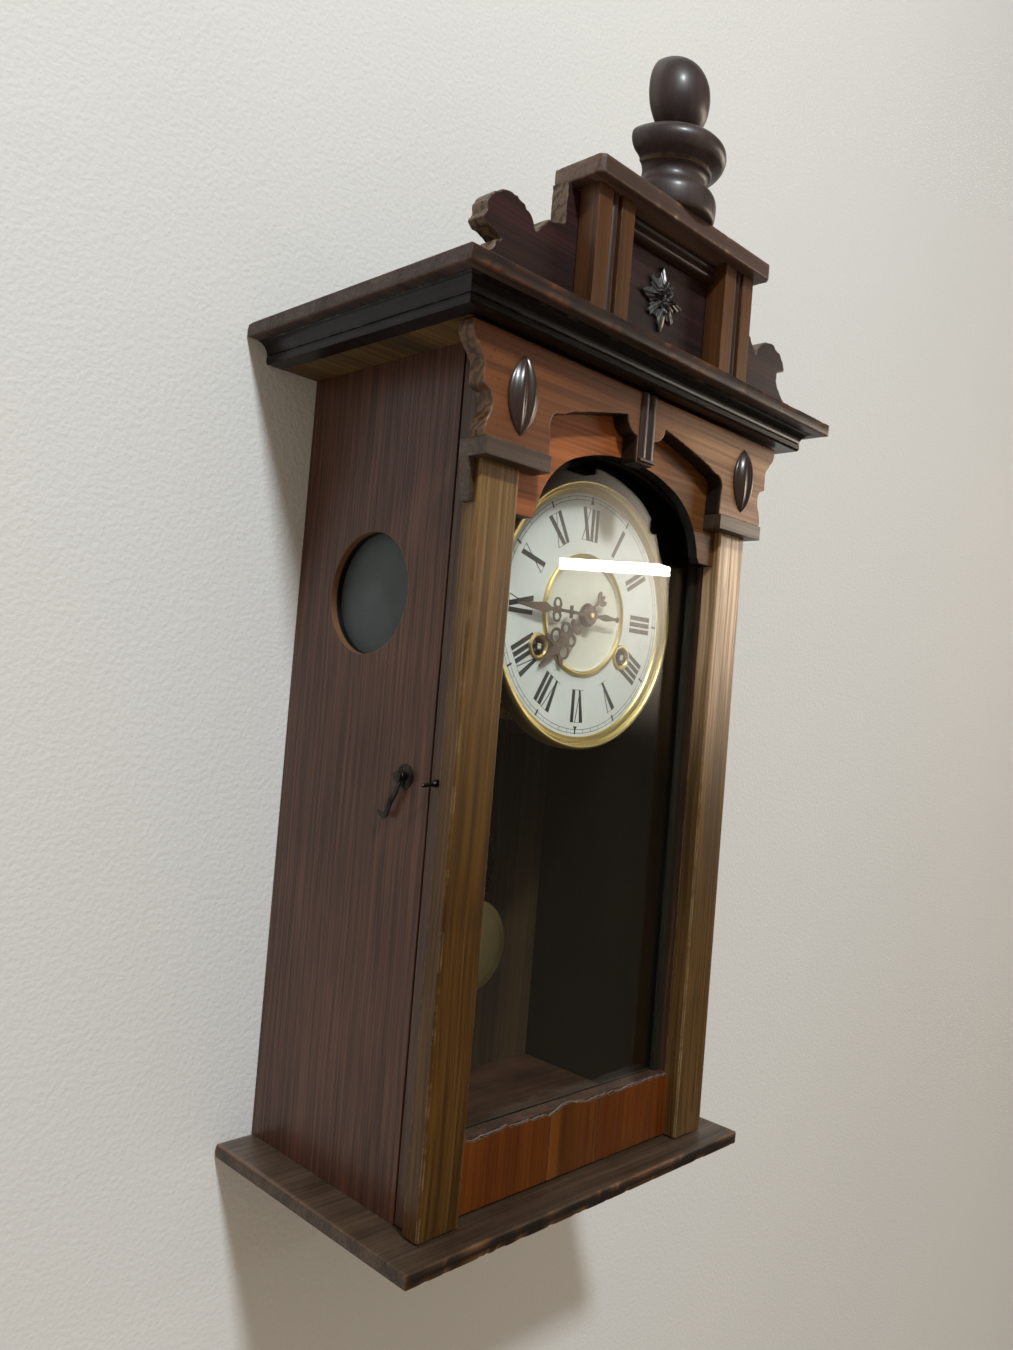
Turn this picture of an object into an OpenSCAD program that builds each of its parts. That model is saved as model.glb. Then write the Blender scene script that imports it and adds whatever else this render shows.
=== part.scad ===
// Wall regulator clock in an arched, glazed wooden case with a pendulum and a gong.
// X is across the clock, Z is up and the wall is the plane Y = 0. Depths run from the
// wall towards the viewer, along -Y. Heights inside the modules run from the top of the
// base board, and hung() moves them so that the hanging hole is the origin.

/* [Case] */
// Width over the two case sides
case_w = 248.7; // [240:0.1:290]
// Depth of the case sides from the wall
case_d = 140.2; // [138:0.1:170]
// Height of the case between the base board and the cornice
case_h = 479.7; // [472:0.1:540]
// Thickness of the case sides
side_t = 8; // [6:0.5:12]
// Thickness of the back board
back_t = 6; // [4:0.5:9]
// How far the back board is set in from the wall
back_inset = 2; // [1:0.5:4]
// Thickness of the floor board inside the case
floor_t = 9; // [6:0.5:12]
// Radius of the round sound hole in each side
sound_hole_r = 36.5; // [20:0.5:45]
// Distance of the sound hole's centre from the wall
sound_hole_d = 72; // [60:1:80]

/* [Base and cornice] */
// Overhang of the base board past each side
base_side = 25.6; // [10:0.1:40]
// Overhang of the base board in front of the door
base_front = 28.8; // [20:0.1:40]
// Thickness of the base board
base_t = 8.3; // [5:0.1:14]
// Overhang of the cornice moulding past each side
cornice_side = 38.1; // [30:0.1:50]
// Overhang of the cornice moulding in front of the door
cornice_front = 30.1; // [24:0.1:40]
// Height of the cornice moulding
moulding_h = 12.4; // [10:0.1:18]
// Width of the cornice moulding's lower face
moulding_w = 12.5; // [8:0.5:18]
// Overhang of the top board past the moulding
top_over = 14.8; // [11:0.1:20]
// Thickness of the cornice top board
top_t = 8.5; // [6:0.1:14]

/* [Pediment] */
// Thickness of the scrolled pediment board
ped_t = 11.5; // [8:0.5:16]
// Height of the pediment from the top board to the cap
ped_h = 73; // [66:0.5:90]
// Distance of the pediment board's front behind the top board's front
ped_set = 23.5; // [20:0.5:40]
// Half width of the pediment at the foot of its scrolls
ped_foot = 157; // [153:0.5:165]
// Inner edge of each block pilaster, from the middle
block_in = 47.3; // [38:0.1:55]
// Width of each block pilaster
block_w = 31.7; // [26:0.1:38]
// Depth of each block pilaster
block_t = 14; // [10:0.5:18]
// Radius of the bead in each block pilaster
bead_r = 3.6; // [2:0.1:4.5]
// Overhang of the cap past the block pilasters
cap_over = 8.4; // [4:0.1:16]
// Thickness of the cap
cap_t = 10.5; // [6:0.5:16]
// Radius of the cast rosette
rosette_r = 20; // [14:0.5:24]
// Largest radius of the turned finial
finial_r = 35.8; // [30:0.1:40]
// Depth of the finial's flat back, from the wall
finial_d = 172; // [168:0.5:176]
// Height of the turned finial
finial_h = 101.5; // [80:0.5:120]

/* [Door] */
// Thickness of the door frame
door_t = 11.7; // [10:0.1:18]
// Gap between the case and the door, which takes the hinge leaves
door_gap = 1.6; // [1.6:0.1:2.4]
// Gap above and below the door
door_end_gap = 1.2; // [0.8:0.1:2]
// Width of each pilaster
pil_w = 29.8; // [24:0.1:36]
// Thickness of each pilaster
pil_t = 11.7; // [8:0.1:16]
// How far each pilaster stands out past the case side
pil_over = 4.6; // [0:0.1:8]
// Rise of the arch over its springing line
arch_rise = 57.5; // [50:0.5:64]
// Corner radius of the arch
arch_r = 45; // [36:0.5:50]
// Distance from the arch's crown to the top of the door
arch_drop = 33; // [30:0.1:40]
// Height of the bottom rail
rail_h = 41; // [28:0.5:60]
// Thickness of the rail's facing
facing_t = 3; // [1:0.5:5]
// Thickness of the glass
glass_t = 2; // [1.5:0.5:3]
// Width of the rebate that holds the glass
rebate = 5; // [3:0.5:6]
// Thickness of the black strip that lines the opening
liner_t = 6; // [3:0.1:8]

/* [Frieze] */
// Thickness of the arched fascia on the front of the door
fascia_t = 7; // [5:0.5:9]
// Distance from the fascia's crown to the top of the door
fascia_drop = 39.2; // [36:0.1:44]
// Thickness of the frieze board
frieze_t = 12; // [8:0.5:16]
// Height of the frieze board from the capitals to the cornice
frieze_h = 57.5; // [54:0.5:70]
// Height of each capital
capital_h = 9.5; // [7:0.5:14]
// Width of each capital
capital_w = 50; // [44:0.5:54]
// Height of each carved boss
boss_h = 43.5; // [30:0.5:46]
// Width of each carved boss
boss_w = 23; // [16:0.5:28]
// Width of the reeded pendant
pendant_w = 15; // [12:0.5:20]

/* [Dial and hands] */
// Height of the hands' centre below the top of the case
dial_drop = 136.7; // [130:0.1:150]
// Radius of the dial inside its bezel
dial_r = 77; // [74:0.5:80]
// Width of the brass bezel
bezel_w = 8.2; // [6:0.2:9]
// Distance of the dial's face behind the case's front edge
dial_set = 7.5; // [5:0.5:9]
// Radius of the inner brass ring
ring_r = 37.5; // [34:0.5:40]
// Sideways distance of each winding arbor from the centre
wind_x = 40; // [39.5:0.1:41]
// Distance of the winding arbors below the centre
wind_z = 23.5; // [23:0.1:26]
// Outer radius of each winding grommet
grommet_r = 8.4; // [6:0.1:10]
// Length of the minute hand from the centre
minute_len = 66; // [55:0.5:72]
// Length of the hour hand from the centre
hour_len = 54; // [40:0.5:58]
// Angle of the minute hand, clockwise from twelve
minute_angle = 270; // [0:1:359]
// Angle of the hour hand, clockwise from twelve
hour_angle = 229; // [0:1:359]

/* [Movement] */
// Distance between the two movement plates
plate_gap = 38; // [38:0.5:44]
// Thickness of each movement plate
plate_t = 2; // [1.5:0.1:3]
// Distance from the front plate to the dial's face
dial_gap = 12.7; // [12.7:0.1:14]
// Radius of the thin arbors
arbor_r = 1.2; // [0.9:0.1:1.3]
// Radius of the centre arbor
centre_r = 1.5; // [1.3:0.1:1.6]
// Radius of the winding arbors
wind_r = 2.4; // [2:0.1:3]
// Running clearance round every arbor and pin
run = 0.05; // [0.03:0.01:0.08]
// Radius of each spring barrel
barrel_r = 20; // [16:0.5:22]
// Length of the pendulum from its pivot to the bob's centre
pendulum_len = 283; // [250:1:300]
// Radius of the pendulum bob
bob_r = 32; // [24:0.5:40]
// Thickness of the pendulum bob
bob_t = 10; // [7:0.5:14]
// Outer radius of the gong's coil
gong_r = 42; // [34:0.5:50]

/* [Fittings] */
// Distance of the hanging hole below the case's top
hang_drop = 27.7; // [26:0.1:40]
// Radius of the hanging hole
hang_r = 4.5; // [3:0.1:6]
// Thickness of the hanger plate
hanger_t = 2; // [1:0.1:3]
// Length of the side hook from its pin to its tip
hook_len = 25; // [22:0.5:30]
// Height of the side hook's pin above the base board
hook_h = 238.3; // [180:0.1:300]
// Outer radius of the hinge knuckles
knuckle_r = 2.6; // [2.2:0.1:3.2]
// Length of each hinge
hinge_len = 42; // [30:1:60]

/* [Hidden] */
$fn = 64;
case_x = case_w / 2;
in_x = case_x - side_t;
hang_h = case_h - hang_drop;
back_d = back_inset + back_t;
door_d0 = case_d + door_gap;
door_d1 = door_d0 + door_t;
door_z0 = door_end_gap;
door_z1 = case_h - door_end_gap;

// Pilasters, opening and frieze follow the case's sides.
pil_out = case_x + pil_over;
pil_in = pil_out - pil_w;
pil_d1 = door_d1 + pil_t;
open_a = pil_in;
open_top = door_z1 - arch_drop;
open_spring = open_top - arch_rise;
rail_z1 = door_z0 + rail_h;
glass_d1 = door_d1 - 8.5;
glass_d0 = glass_d1 - glass_t;
cap_x = (pil_in + pil_out) / 2 - 4.5;
cap_in = cap_x - capital_w / 2;
cap_out = cap_x + capital_w / 2;
capital_z1 = door_z1 - frieze_h;
capital_z0 = capital_z1 - capital_h;
fascia_d1 = door_d1 + fascia_t;
frieze_d0 = fascia_d1;
frieze_d1 = frieze_d0 + frieze_t;
capital_d1 = frieze_d1 + 1.5;

// Cornice and base.
moulding_x = case_x + cornice_side;
moulding_d = door_d1 + cornice_front;
soffit_x = moulding_x - moulding_w;
soffit_d = moulding_d - moulding_w;
moulding_z1 = case_h + moulding_h;
top_x = moulding_x + top_over;
top_d = moulding_d + top_over;
top_z1 = moulding_z1 + top_t;
base_x = case_x + base_side;
base_d = door_d1 + base_front;
fillet_h = 5.4;

// Pediment.
ped_d1 = top_d - ped_set;
ped_d0 = ped_d1 - ped_t;
ped_z1 = top_z1 + ped_h;
block_out = block_in + block_w;
block_d1 = ped_d1 + block_t;
ped_shoulder = block_out + 11;
cap_x1 = block_out + cap_over;
cap_d1 = block_d1 + cap_over;
cap_z1 = ped_z1 + cap_t;
groove_w = 2 * bead_r + 1.2;

// Movement: every depth starts at the dial's face.
hand_z = case_h - dial_drop;
dial_d = case_d - dial_set;
front_d1 = dial_d - dial_gap;
front_d0 = front_d1 - plate_t;
back_plate_d1 = front_d0 - plate_gap;
back_plate_d0 = back_plate_d1 - plate_t;
pendulum_d = back_plate_d0 - 24;
verge_z = 56;
escape_z = 34;
wheel_t = 1.5;

// Depths of the wheels between the plates, and of the motion work before them.
third_level = back_plate_d1 + 2.5;
great_level = back_plate_d1 + 8;
great_t = 2;
escape_level = back_plate_d1 + 20;
centre_level = front_d0 - 6;
minute_level = front_d1 + 2;
hour_level = front_d1 + 6;
motion_t = 1.2;

// Tooth counts. A lantern pinion's count is the number of its trundles.
great_n = 64;
centre_leaves = 16;
centre_n = 72;
third_leaves = 8;
third_n = 76;
escape_leaves = 8;
escape_n = 40;
cannon_leaves = 12;
minute_n = 36;
minute_leaves = 10;
hour_n = 40;
strike_n = 60;

// Distances between arbors give the pitch radii, in proportion to the counts.
wind_dist = sqrt(wind_x * wind_x + wind_z * wind_z);
wind_dir = atan2(wind_z, -wind_x);
great_rp = wind_dist * great_n / (great_n + centre_leaves);
centre_lantern_rp = wind_dist - great_rp;
third_dist = 28;
centre_rp = third_dist * centre_n / (centre_n + third_leaves);
third_rp = 20.9;
escape_dist = third_rp * (third_n + escape_leaves) / third_n;
third_z = (escape_z * escape_z + third_dist * third_dist - escape_dist * escape_dist) / (2 * escape_z);
third_x = -sqrt(third_dist * third_dist - third_z * third_z);
escape_dir = atan2(escape_z - third_z, -third_x);
third_dir = atan2(third_z, third_x);
motion_dist = 14.4;
motion_dir = 45;
minute_rp = motion_dist * minute_n / (minute_n + cannon_leaves);
hour_rp = motion_dist * hour_n / (hour_n + minute_leaves);
strike_rp = wind_dist - centre_lantern_rp - 5.6;
escape_r = 16;
escape_depth = 1.9;
stud_r = 1;
pipe_r = 3;
spring_turns = 4;

// Plate outline, pillars and screws, measured from the hands' centre.
plate_x = 66;
plate_top = 66;
plate_low = 70;
plate_cut = 25;
pillar_at = [[-57, 40], [57, 40], [-12, -62], [12, -62]];
foot_at = [[-58, 20], [58, 20], [-30, -62], [30, -62]];
mount_at = [[-34, 63.2], [34, 63.2], [-28, -66.8], [28, -66.8]];
cleat_t = 12;
cleat_h = 15;
screw_r = 1.5;
screw_gap = 0.05;

// Hammer and gong.
hammer_x = -4;
hammer_z = -50;
hammer_side = -34;
gong_d = back_d + 21;
gong_t = 4;
gong_z = hand_z - 178;
gong_post_z = gong_z + gong_r + 25;
gong_post_r = 8;
gong_turns = 3;
hammer_head_r = 4.5;

// Hinges and the side hook.
hinge_x = case_x + knuckle_r;
hinge_d = case_d + door_gap / 2;
leaf_t = door_gap / 2 - 0.1;
leaf_w = 16;
pin_r = 1.2;
hinge_z = [62, case_h - 62];
leaf_half = hinge_len / 6;
join_gap = 0.25;
hook_d = case_d - 20.7;
hook_t = 1.6;
hook_x = case_x + 3.8;
catch_d = hook_d + hook_len + 2.5;
catch_r = 1.2;
catch_len = 11.6;
collar_r = 2.1;
collar_t = 3;

// Moves case heights so that the hanging hole's centre is the origin.
module hung() { translate([0, 0, -hang_h]) children(); }

// Moves to the hands' centre.
module at_hands() { hung() translate([0, 0, hand_z]) children(); }

// A box between two sideways places, two depths and two heights.
module block(x0, x1, d0, d1, z0, z1) {
  translate([x0, -d1, z0]) cube([x1 - x0, d1 - d0, z1 - z0]);
}

// The children's flat X-Z outline, thick from depth d0 to d1.
module slab(d0, d1) { translate([0, -d0, 0]) rotate([90, 0, 0]) linear_extrude(d1 - d0) children(); }

// A round bar along the depth.
module rod_y(x, z, d0, d1, r) {
  translate([x, -d0, z]) rotate([90, 0, 0]) cylinder(h = d1 - d0, r = r);
}

// A turned shape about a line along the depth, from points of radius and depth.
module turned_y(x, z, points) {
  translate([x, 0, z]) rotate([90, 0, 0]) rotate_extrude() polygon(points);
}

// A pair of the children, mirrored left and right.
module both_sides() { children(); mirror([1, 0, 0]) children(); }

// Points on an arc, the first left out where skip is 1.
function arc(cx, cy, r, a0, a1, n, skip = 0) =
  [for (i = [skip : n]) let (a = a0 + (a1 - a0) * i / n) [cx + r * cos(a), cy + r * sin(a)]];

// The three-centred arch of the opening, drawn in by the distance d.
function arch_big(d) = (pow(open_a - arch_r, 2) + pow(arch_rise - d, 2) - pow(arch_r - d, 2))
  / (2 * (arch_rise - arch_r));
function arch(d, foot) =
  let (cx = open_a - arch_r, big = arch_big(d), cz = open_spring + arch_rise - d - big,
    turn = atan2(open_spring - cz, cx))
  concat([[-open_a + d, foot], [open_a - d, foot]],
    arc(cx, open_spring, arch_r - d, 0, turn, 8),
    arc(0, cz, big, turn, 180 - turn, 16, 1),
    arc(-cx, open_spring, arch_r - d, 180 - turn, 180, 8, 1));

// A whole outline from its right half, whose first and last points lie on the middle line.
function both_halves(p) = concat(p, [for (i = [len(p) - 2 : -1 : 1]) [-p[i][0], p[i][1]]]);

// A band of width w along a path, each side set off square to the path.
function along(p, i) = let (d = p[min(i + 1, len(p) - 1)] - p[max(i - 1, 0)]) d / norm(d);
function band(p, w) = concat(
  [for (i = [0 : len(p) - 1]) let (t = along(p, i)) p[i] + [-t[1], t[0]] * w / 2],
  [for (i = [len(p) - 1 : -1 : 0]) let (t = along(p, i)) p[i] - [-t[1], t[0]] * w / 2]);

// Section of n rounded reeds side by side, each of width w and height h, on a flat of depth f.
function reeds(n, w, h, f) =
  let (r = (w * w / 4 + h * h) / (2 * h), a = asin(w / 2 / r), x0 = -n * w / 2)
  concat([[x0, -f]], [for (k = [0 : n - 1])
    each arc(x0 + (k + 0.5) * w, h - r, r, 90 + a, 90 - a, 8, k == 0 ? 0 : 1)], [[-x0, -f]]);

// A board with its long edges eased by c, lying between two heights.
module eased_board(x, d0, d1, z0, z1, c) {
  intersection() {
    block(-x, x, d0, d1, z0, z1);
    slab(d0, d1) polygon([[-x + c, z0], [x - c, z0], [x, z0 + c], [x, z1 - c],
      [x - c, z1], [-x + c, z1], [-x, z1 - c], [-x, z0 + c]]);
    translate([-x, 0, 0]) rotate([90, 0, 90]) linear_extrude(2 * x)
      polygon([[-d0, z0], [-d1 + c, z0], [-d1, z0 + c], [-d1, z1 - c], [-d1 + c, z1], [-d0, z1]]);
  }
}

// Teeth as a flat outline: n teeth at pitch radius rp, the first at angle a0.
module teeth(n, rp, a0, add, ded, root_share, tip_share) {
  polygon([for (i = [0 : n - 1], k = [0 : 3])
    let (half = 180 / n * (k == 0 || k == 3 ? root_share : tip_share),
      r = k == 0 || k == 3 ? rp - ded : rp + add,
      a = a0 + 360 / n * i + (k < 2 ? -half : half)) [r * cos(a), r * sin(a)]]);
}

// A toothed wheel with four arms, whose gap lies at the angle gap_dir.
module wheel(x, z, d0, t, n, rp, gap_dir, rim, hub) {
  pitch = 360 * rp / n * PI / 180;
  translate([x, 0, z]) slab(d0, d0 + t) difference() {
    teeth(n, rp, gap_dir + 180 / n, 0.3 * pitch, 0.24 * pitch, 0.42, 0.14);
    difference() {
      circle(r = rp - rim);
      circle(r = hub);
      for (a = [0, 90]) rotate(a) square([2 * rp, 0.16 * rp], center = true);
    }
  }
}

// A lantern pinion with n trundles between two shrouds, one trundle at angle a0.
module lantern(x, z, d0, d1, n, rp, a0, shroud_t) {
  pitch = 2 * PI * rp / n;
  for (d = [d0, d1 - shroud_t]) rod_y(x, z, d, d + shroud_t, rp + 0.36 * pitch);
  for (i = [0 : n - 1]) let (a = a0 + 360 / n * i)
    rod_y(x + rp * cos(a), z + rp * sin(a), d0, d1, 0.14 * pitch);
}

// Case

module back_board() {
  color([0.23, 0.14, 0.09]) hung() difference() {
    block(-in_x, in_x, back_inset, back_d, 0, case_h);
    rod_y(0, hang_h, back_inset - 1, back_d + 1, hang_r + 4);
    hanger_screws(screw_r + screw_gap);
    for (x = [-9, 9]) rod_y(x, gong_post_z + (x < 0 ? 5 : -5), back_inset - 1, back_d + 1, screw_r + screw_gap);
  }
}

module side_panel() {
  difference() {
    block(-case_x, -in_x, 0, case_d, 0, case_h);
    translate([-case_x - 1, -sound_hole_d, hand_z - 1]) rotate([0, 90, 0])
      cylinder(h = side_t + 2, r = sound_hole_r);
  }
}

module side_panel_left() {
  color([0.25, 0.12, 0.08]) hung() difference() {
    side_panel();
    translate([-case_x - 1, -hook_d, hook_h]) rotate([0, 90, 0]) cylinder(h = 6, r = screw_r + screw_gap);
  }
}

module side_panel_right() { color([0.25, 0.12, 0.08]) hung() mirror([1, 0, 0]) side_panel(); }

module floor_board() { color([0.2, 0.13, 0.08]) hung() block(-in_x, in_x, back_d, case_d - 1, 0, floor_t); }

module base_board() { color([0.24, 0.13, 0.08]) hung() eased_board(base_x, 0, base_d, -base_t, 0, 1.2); }

module case_soffit() {
  color([0.33, 0.26, 0.15]) hung() block(-soffit_x, soffit_x, 0, soffit_d, case_h, moulding_z1);
}

// Outline of the moulding: outward distance from the soffit board, and height.
module moulding_profile() {
  cove = moulding_h - fillet_h;
  translate([0, case_h]) polygon(concat([[0, 0], [moulding_w - 1, 0], [moulding_w, 1.4],
    [moulding_w, fillet_h - 1], [moulding_w - 0.8, fillet_h]],
    arc(moulding_w + cove, fillet_h, cove, 180, 90, 7), [[0, moulding_h]]));
}

module cornice_moulding() {
  far = top_x + 1;
  // The plan of each mitred length, cut at 45 degrees through the corner.
  corner = soffit_d - soffit_x;
  color([0.09, 0.06, 0.05]) hung() {
    intersection() {
      translate([-far, -soffit_d, 0]) rotate([90, 0, 90]) mirror([1, 0, 0])
        linear_extrude(2 * far) moulding_profile();
      linear_extrude(2 * case_h) polygon([[0, -corner], [far, -corner - far], [-far, -corner - far]]);
    }
    both_sides() intersection() {
      translate([soffit_x, 0, 0]) rotate([90, 0, 0]) linear_extrude(top_d + 1) moulding_profile();
      linear_extrude(2 * case_h) polygon([[0, -corner], [0, 1], [far, 1], [far, -corner - far]]);
    }
  }
}

module cornice_board() {
  color([0.2, 0.12, 0.09]) hung() eased_board(top_x, 0, top_d, moulding_z1, top_z1, 1.2);
}

// Pediment

// Half of the scrolled outline, from the middle of its foot to the cap.
function scroll_half() =
  let (foot = ped_foot, z = top_z1, lobe_x = foot - 26.5, lobe_r = 20.5, lobe_z = 29)
  concat([[0, z], [foot, z], [foot, z + 14]],
    arc(foot + 3.5, z + 32, 20, 258, 212, 5),
    [[foot - 16.5, z + 25.5], [foot - 16.5, z + 31]],
    arc(lobe_x, z + lobe_z, lobe_r, 17, 158, 14),
    [[foot - 50, z + 41.5]],
    arc(foot - 56, z + 42.5, 4, 20, 110, 5),
    [[ped_shoulder + 2, z + 48.6], [ped_shoulder, z + 50], [ped_shoulder, ped_z1], [0, ped_z1]]);

module pediment_board() {
  color([0.2, 0.12, 0.1]) hung() slab(ped_d0, ped_d1) polygon(both_halves(scroll_half()));
}

module block_plan(x0, x1) {
  difference() {
    block(x0, x1, ped_d1, block_d1, top_z1, ped_z1);
    block((x0 + x1 - groove_w) / 2, (x0 + x1 + groove_w) / 2, block_d1 - bead_r - 0.6, block_d1 + 1,
      top_z1 - 1, ped_z1 + 1);
  }
}

module pediment_blocks() { color([0.36, 0.24, 0.13]) hung() both_sides() block_plan(block_in, block_out); }

module pediment_beads() {
  color([0.11, 0.08, 0.07]) hung() both_sides()
    translate([(block_in + block_out) / 2, -(block_d1 - bead_r - 0.6), top_z1]) intersection() {
      cylinder(h = ped_h, r = bead_r);
      translate([-bead_r, -2 * bead_r, 0]) cube([2 * bead_r, 2 * bead_r, ped_h]);
    }
}

// A rail worked into two reeds, which closes the panel under the cap.
module pediment_rail() {
  h = 11.6;
  color([0.13, 0.08, 0.07]) hung() translate([block_in, -ped_d1 - 4, ped_z1 - h / 2])
    rotate([90, 0, -90]) rotate([0, 0, -90]) linear_extrude(2 * block_in) polygon(reeds(2, h / 2, 2.4, 4));
}

// A leaf of the rosette: two arcs that meet in a point, drawn along Z.
module leaf(len, half) {
  r = (len * len / 4 + half * half) / (2 * half);
  intersection() {
    translate([r - half, len / 2]) circle(r = r);
    translate([half - r, len / 2]) circle(r = r);
  }
}

module pediment_rosette() {
  color([0.07, 0.06, 0.06]) hung() translate([0, 0, top_z1 + ped_h / 2 - 0.3]) {
    for (a = [0 : 45 : 315]) slab(ped_d1, ped_d1 + (a % 90 == 0 ? 3.4 : 2.2))
      rotate(a) leaf(a % 90 == 0 ? rosette_r : rosette_r * 0.86, rosette_r * 0.22);
    turned_y(0, 0, [[0, ped_d1], [rosette_r * 0.42, ped_d1], [rosette_r * 0.42, ped_d1 + 4.2],
      [rosette_r * 0.3, ped_d1 + 6.4], [rosette_r * 0.14, ped_d1 + 7.6], [0, ped_d1 + 8]]);
  }
}

module pediment_cap() {
  c = 3;
  color([0.2, 0.13, 0.1]) hung() translate([0, 0, ped_z1]) linear_extrude(cap_t)
    polygon([[-cap_x1, -ped_d0 - 1], [-cap_x1, -cap_d1 + c], [-cap_x1 + c, -cap_d1],
      [cap_x1 - c, -cap_d1], [cap_x1, -cap_d1 + c], [cap_x1, -ped_d0 - 1]]);
}

module finial() {
  // A split turning: the front half of it. Radii and heights are shares of its own radius and height.
  r = finial_r;
  h = finial_h;
  color([0.13, 0.08, 0.07]) hung() translate([0, -finial_d, cap_z1]) difference() {
    rotate_extrude()
      polygon(concat([[0, 0], [0.85 * r, 0], [0.87 * r, 0.03 * h]],
        arc(0.66 * r, 0.1 * h, 0.225 * r, -40, 80, 6),
        arc(0.9 * r, 0.22 * h, 0.24 * r, 215, 152, 6),
        [[0.76 * r, 0.275 * h], [0.76 * r, 0.3 * h], [0.82 * r, 0.315 * h]],
        arc(0.8 * r, 0.39 * h, 0.2 * r, -72, 75, 10),
        [[0.6 * r, 0.49 * h], [0.32 * r, 0.515 * h], [0.32 * r, 0.53 * h]],
        [for (i = [0 : 13]) let (s = i / 14, a = -55 + 145 * s)
          [0.648 * r * cos(a), (0.757 + (a < 0 ? 0.277 : 0.243) * sin(a)) * h]],
        [[0, h]]));
    translate([-2 * r, 0, -1]) cube([4 * r, 2 * r, h + 2]);
  }
}

// Fittings inside and outside the case

module sound_gauzes() {
  color([0.33, 0.37, 0.35]) hung() both_sides()
    translate([in_x - 1, -sound_hole_d, hand_z - 1]) rotate([0, 90, 0]) cylinder(h = 1, r = sound_hole_r + 5);
}

// The two screws of the hanger plate, thin enough or wide enough for the radius given.
module hanger_screws(r) {
  for (z = [-17, 17]) rod_y(0, hang_h + z, -1 + 1.2, back_d + 1, r);
}

module hanger_plate() {
  color([0.42, 0.4, 0.36]) hung() difference() {
    slab(back_inset - hanger_t, back_inset) translate([0, hang_h]) {
      circle(r = hang_r + 7);
      square([13, 48], center = true);
    }
    rod_y(0, hang_h, -1, back_inset + 1, hang_r);
    hanger_screws(screw_r + screw_gap);
  }
}

module screw(x, z, head_d, tip_d) {
  side = head_d < tip_d ? 1 : -1;
  rod_y(x, z, min(head_d, tip_d), max(head_d, tip_d), screw_r);
  rod_y(x, z, min(head_d, head_d - side), max(head_d, head_d - side), 2 * screw_r);
}

module case_screws() {
  color([0.5, 0.48, 0.42]) hung() {
    for (z = [-17, 17]) rod_y(0, hang_h + z, 0.4, back_d - 0.5, screw_r);
    for (p = mount_at) screw(p[0], hand_z + p[1], back_plate_d1 + 1, back_plate_d0 - cleat_t + 2);
  }
}

module movement_cleats() {
  color([0.3, 0.2, 0.12]) hung() difference() {
    for (z = [plate_top - 4, -plate_low - cleat_h + 6])
      block(-in_x, in_x, back_plate_d0 - cleat_t, back_plate_d0, hand_z + z, hand_z + z + cleat_h);
    for (p = mount_at) rod_y(p[0], hand_z + p[1], back_plate_d0 - cleat_t + 1.5, back_plate_d0 + 1,
      screw_r + screw_gap);
  }
}

module gong_stand() {
  color([0.12, 0.12, 0.12]) hung() {
    turned_y(0, gong_post_z, [[0, back_d], [16, back_d], [16, back_d + 2.5], [gong_post_r, back_d + 5],
      [gong_post_r - 2, back_d + 9], [gong_post_r, gong_d - 3], [gong_post_r, gong_d],
      [screw_r, gong_d], [screw_r, gong_d + gong_t], [2 * screw_r, gong_d + gong_t],
      [2 * screw_r, gong_d + gong_t + 1.6], [0, gong_d + gong_t + 1.6]]);
    for (x = [-9, 9]) rod_y(x, gong_post_z + (x < 0 ? 5 : -5), back_d - 4, back_d, screw_r);
  }
}

// A flat spiral of square wire whose outer end rises to a block screwed to the post.
module gong_coil() {
  steps = 24 * gong_turns;
  pitch = 8;
  wire = 1.8;
  foot = gong_post_z - gong_z - 4.5;
  function at(i, off) = let (a = 90 - 360 * i / 24, r = gong_r - pitch * i / 24 + off) [r * cos(a), r * sin(a)];
  color([0.25, 0.27, 0.33]) hung() translate([-wire / 2, 0, gong_z]) difference() {
    slab(gong_d, gong_d + gong_t) polygon(concat([[5, foot + 9], [5, foot], [wire, foot]],
      [for (i = [0 : steps]) at(i, 0) + [wire / 2 * (1 - min(i, 3) / 3), 0]],
      [for (i = [steps : -1 : 0]) at(i, -wire)], [[0, foot], [-3.2, foot], [-3.2, foot + 9]]));
    rod_y(wire / 2, foot + 4.5, gong_d - 1, gong_d + gong_t + 1, screw_r + screw_gap);
  }
}

module hook_rosette() {
  color([0.12, 0.11, 0.1]) hung() translate([-case_x, -hook_d, hook_h]) rotate([0, -90, 0]) {
    rotate_extrude() polygon([[0, 0], [7, 0], [7, 0.6], [5.6, 1.5], [3.4, 1.8], [0, 1.8]]);
    translate([0, 0, -4.5]) cylinder(h = 11, r = screw_r);
    translate([0, 0, hook_x - case_x + hook_t / 2 + 0.3]) cylinder(h = 1.4, r = 2 * screw_r);
  }
}

// A leaf in the door gap and its knuckle, cut to the lengths that are its own.
module hinge_half(leaf_d, cuts, bore) {
  difference() {
    union() {
      block(case_x - leaf_w, case_x + 0.6, leaf_d, leaf_d + leaf_t, -hinge_len / 2, hinge_len / 2);
      block(case_x, hinge_x, leaf_d, leaf_d + leaf_t, -hinge_len / 2, hinge_len / 2);
      translate([hinge_x, -hinge_d, -hinge_len / 2]) cylinder(h = hinge_len, r = knuckle_r);
    }
    for (c = cuts) block(case_x - 0.01, hinge_x + 2 * knuckle_r, case_d - 2 * knuckle_r,
      case_d + 3 * knuckle_r, c[0], c[1]);
    translate([hinge_x, -hinge_d, -hinge_len]) cylinder(h = 2 * hinge_len, r = bore);
  }
}

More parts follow.
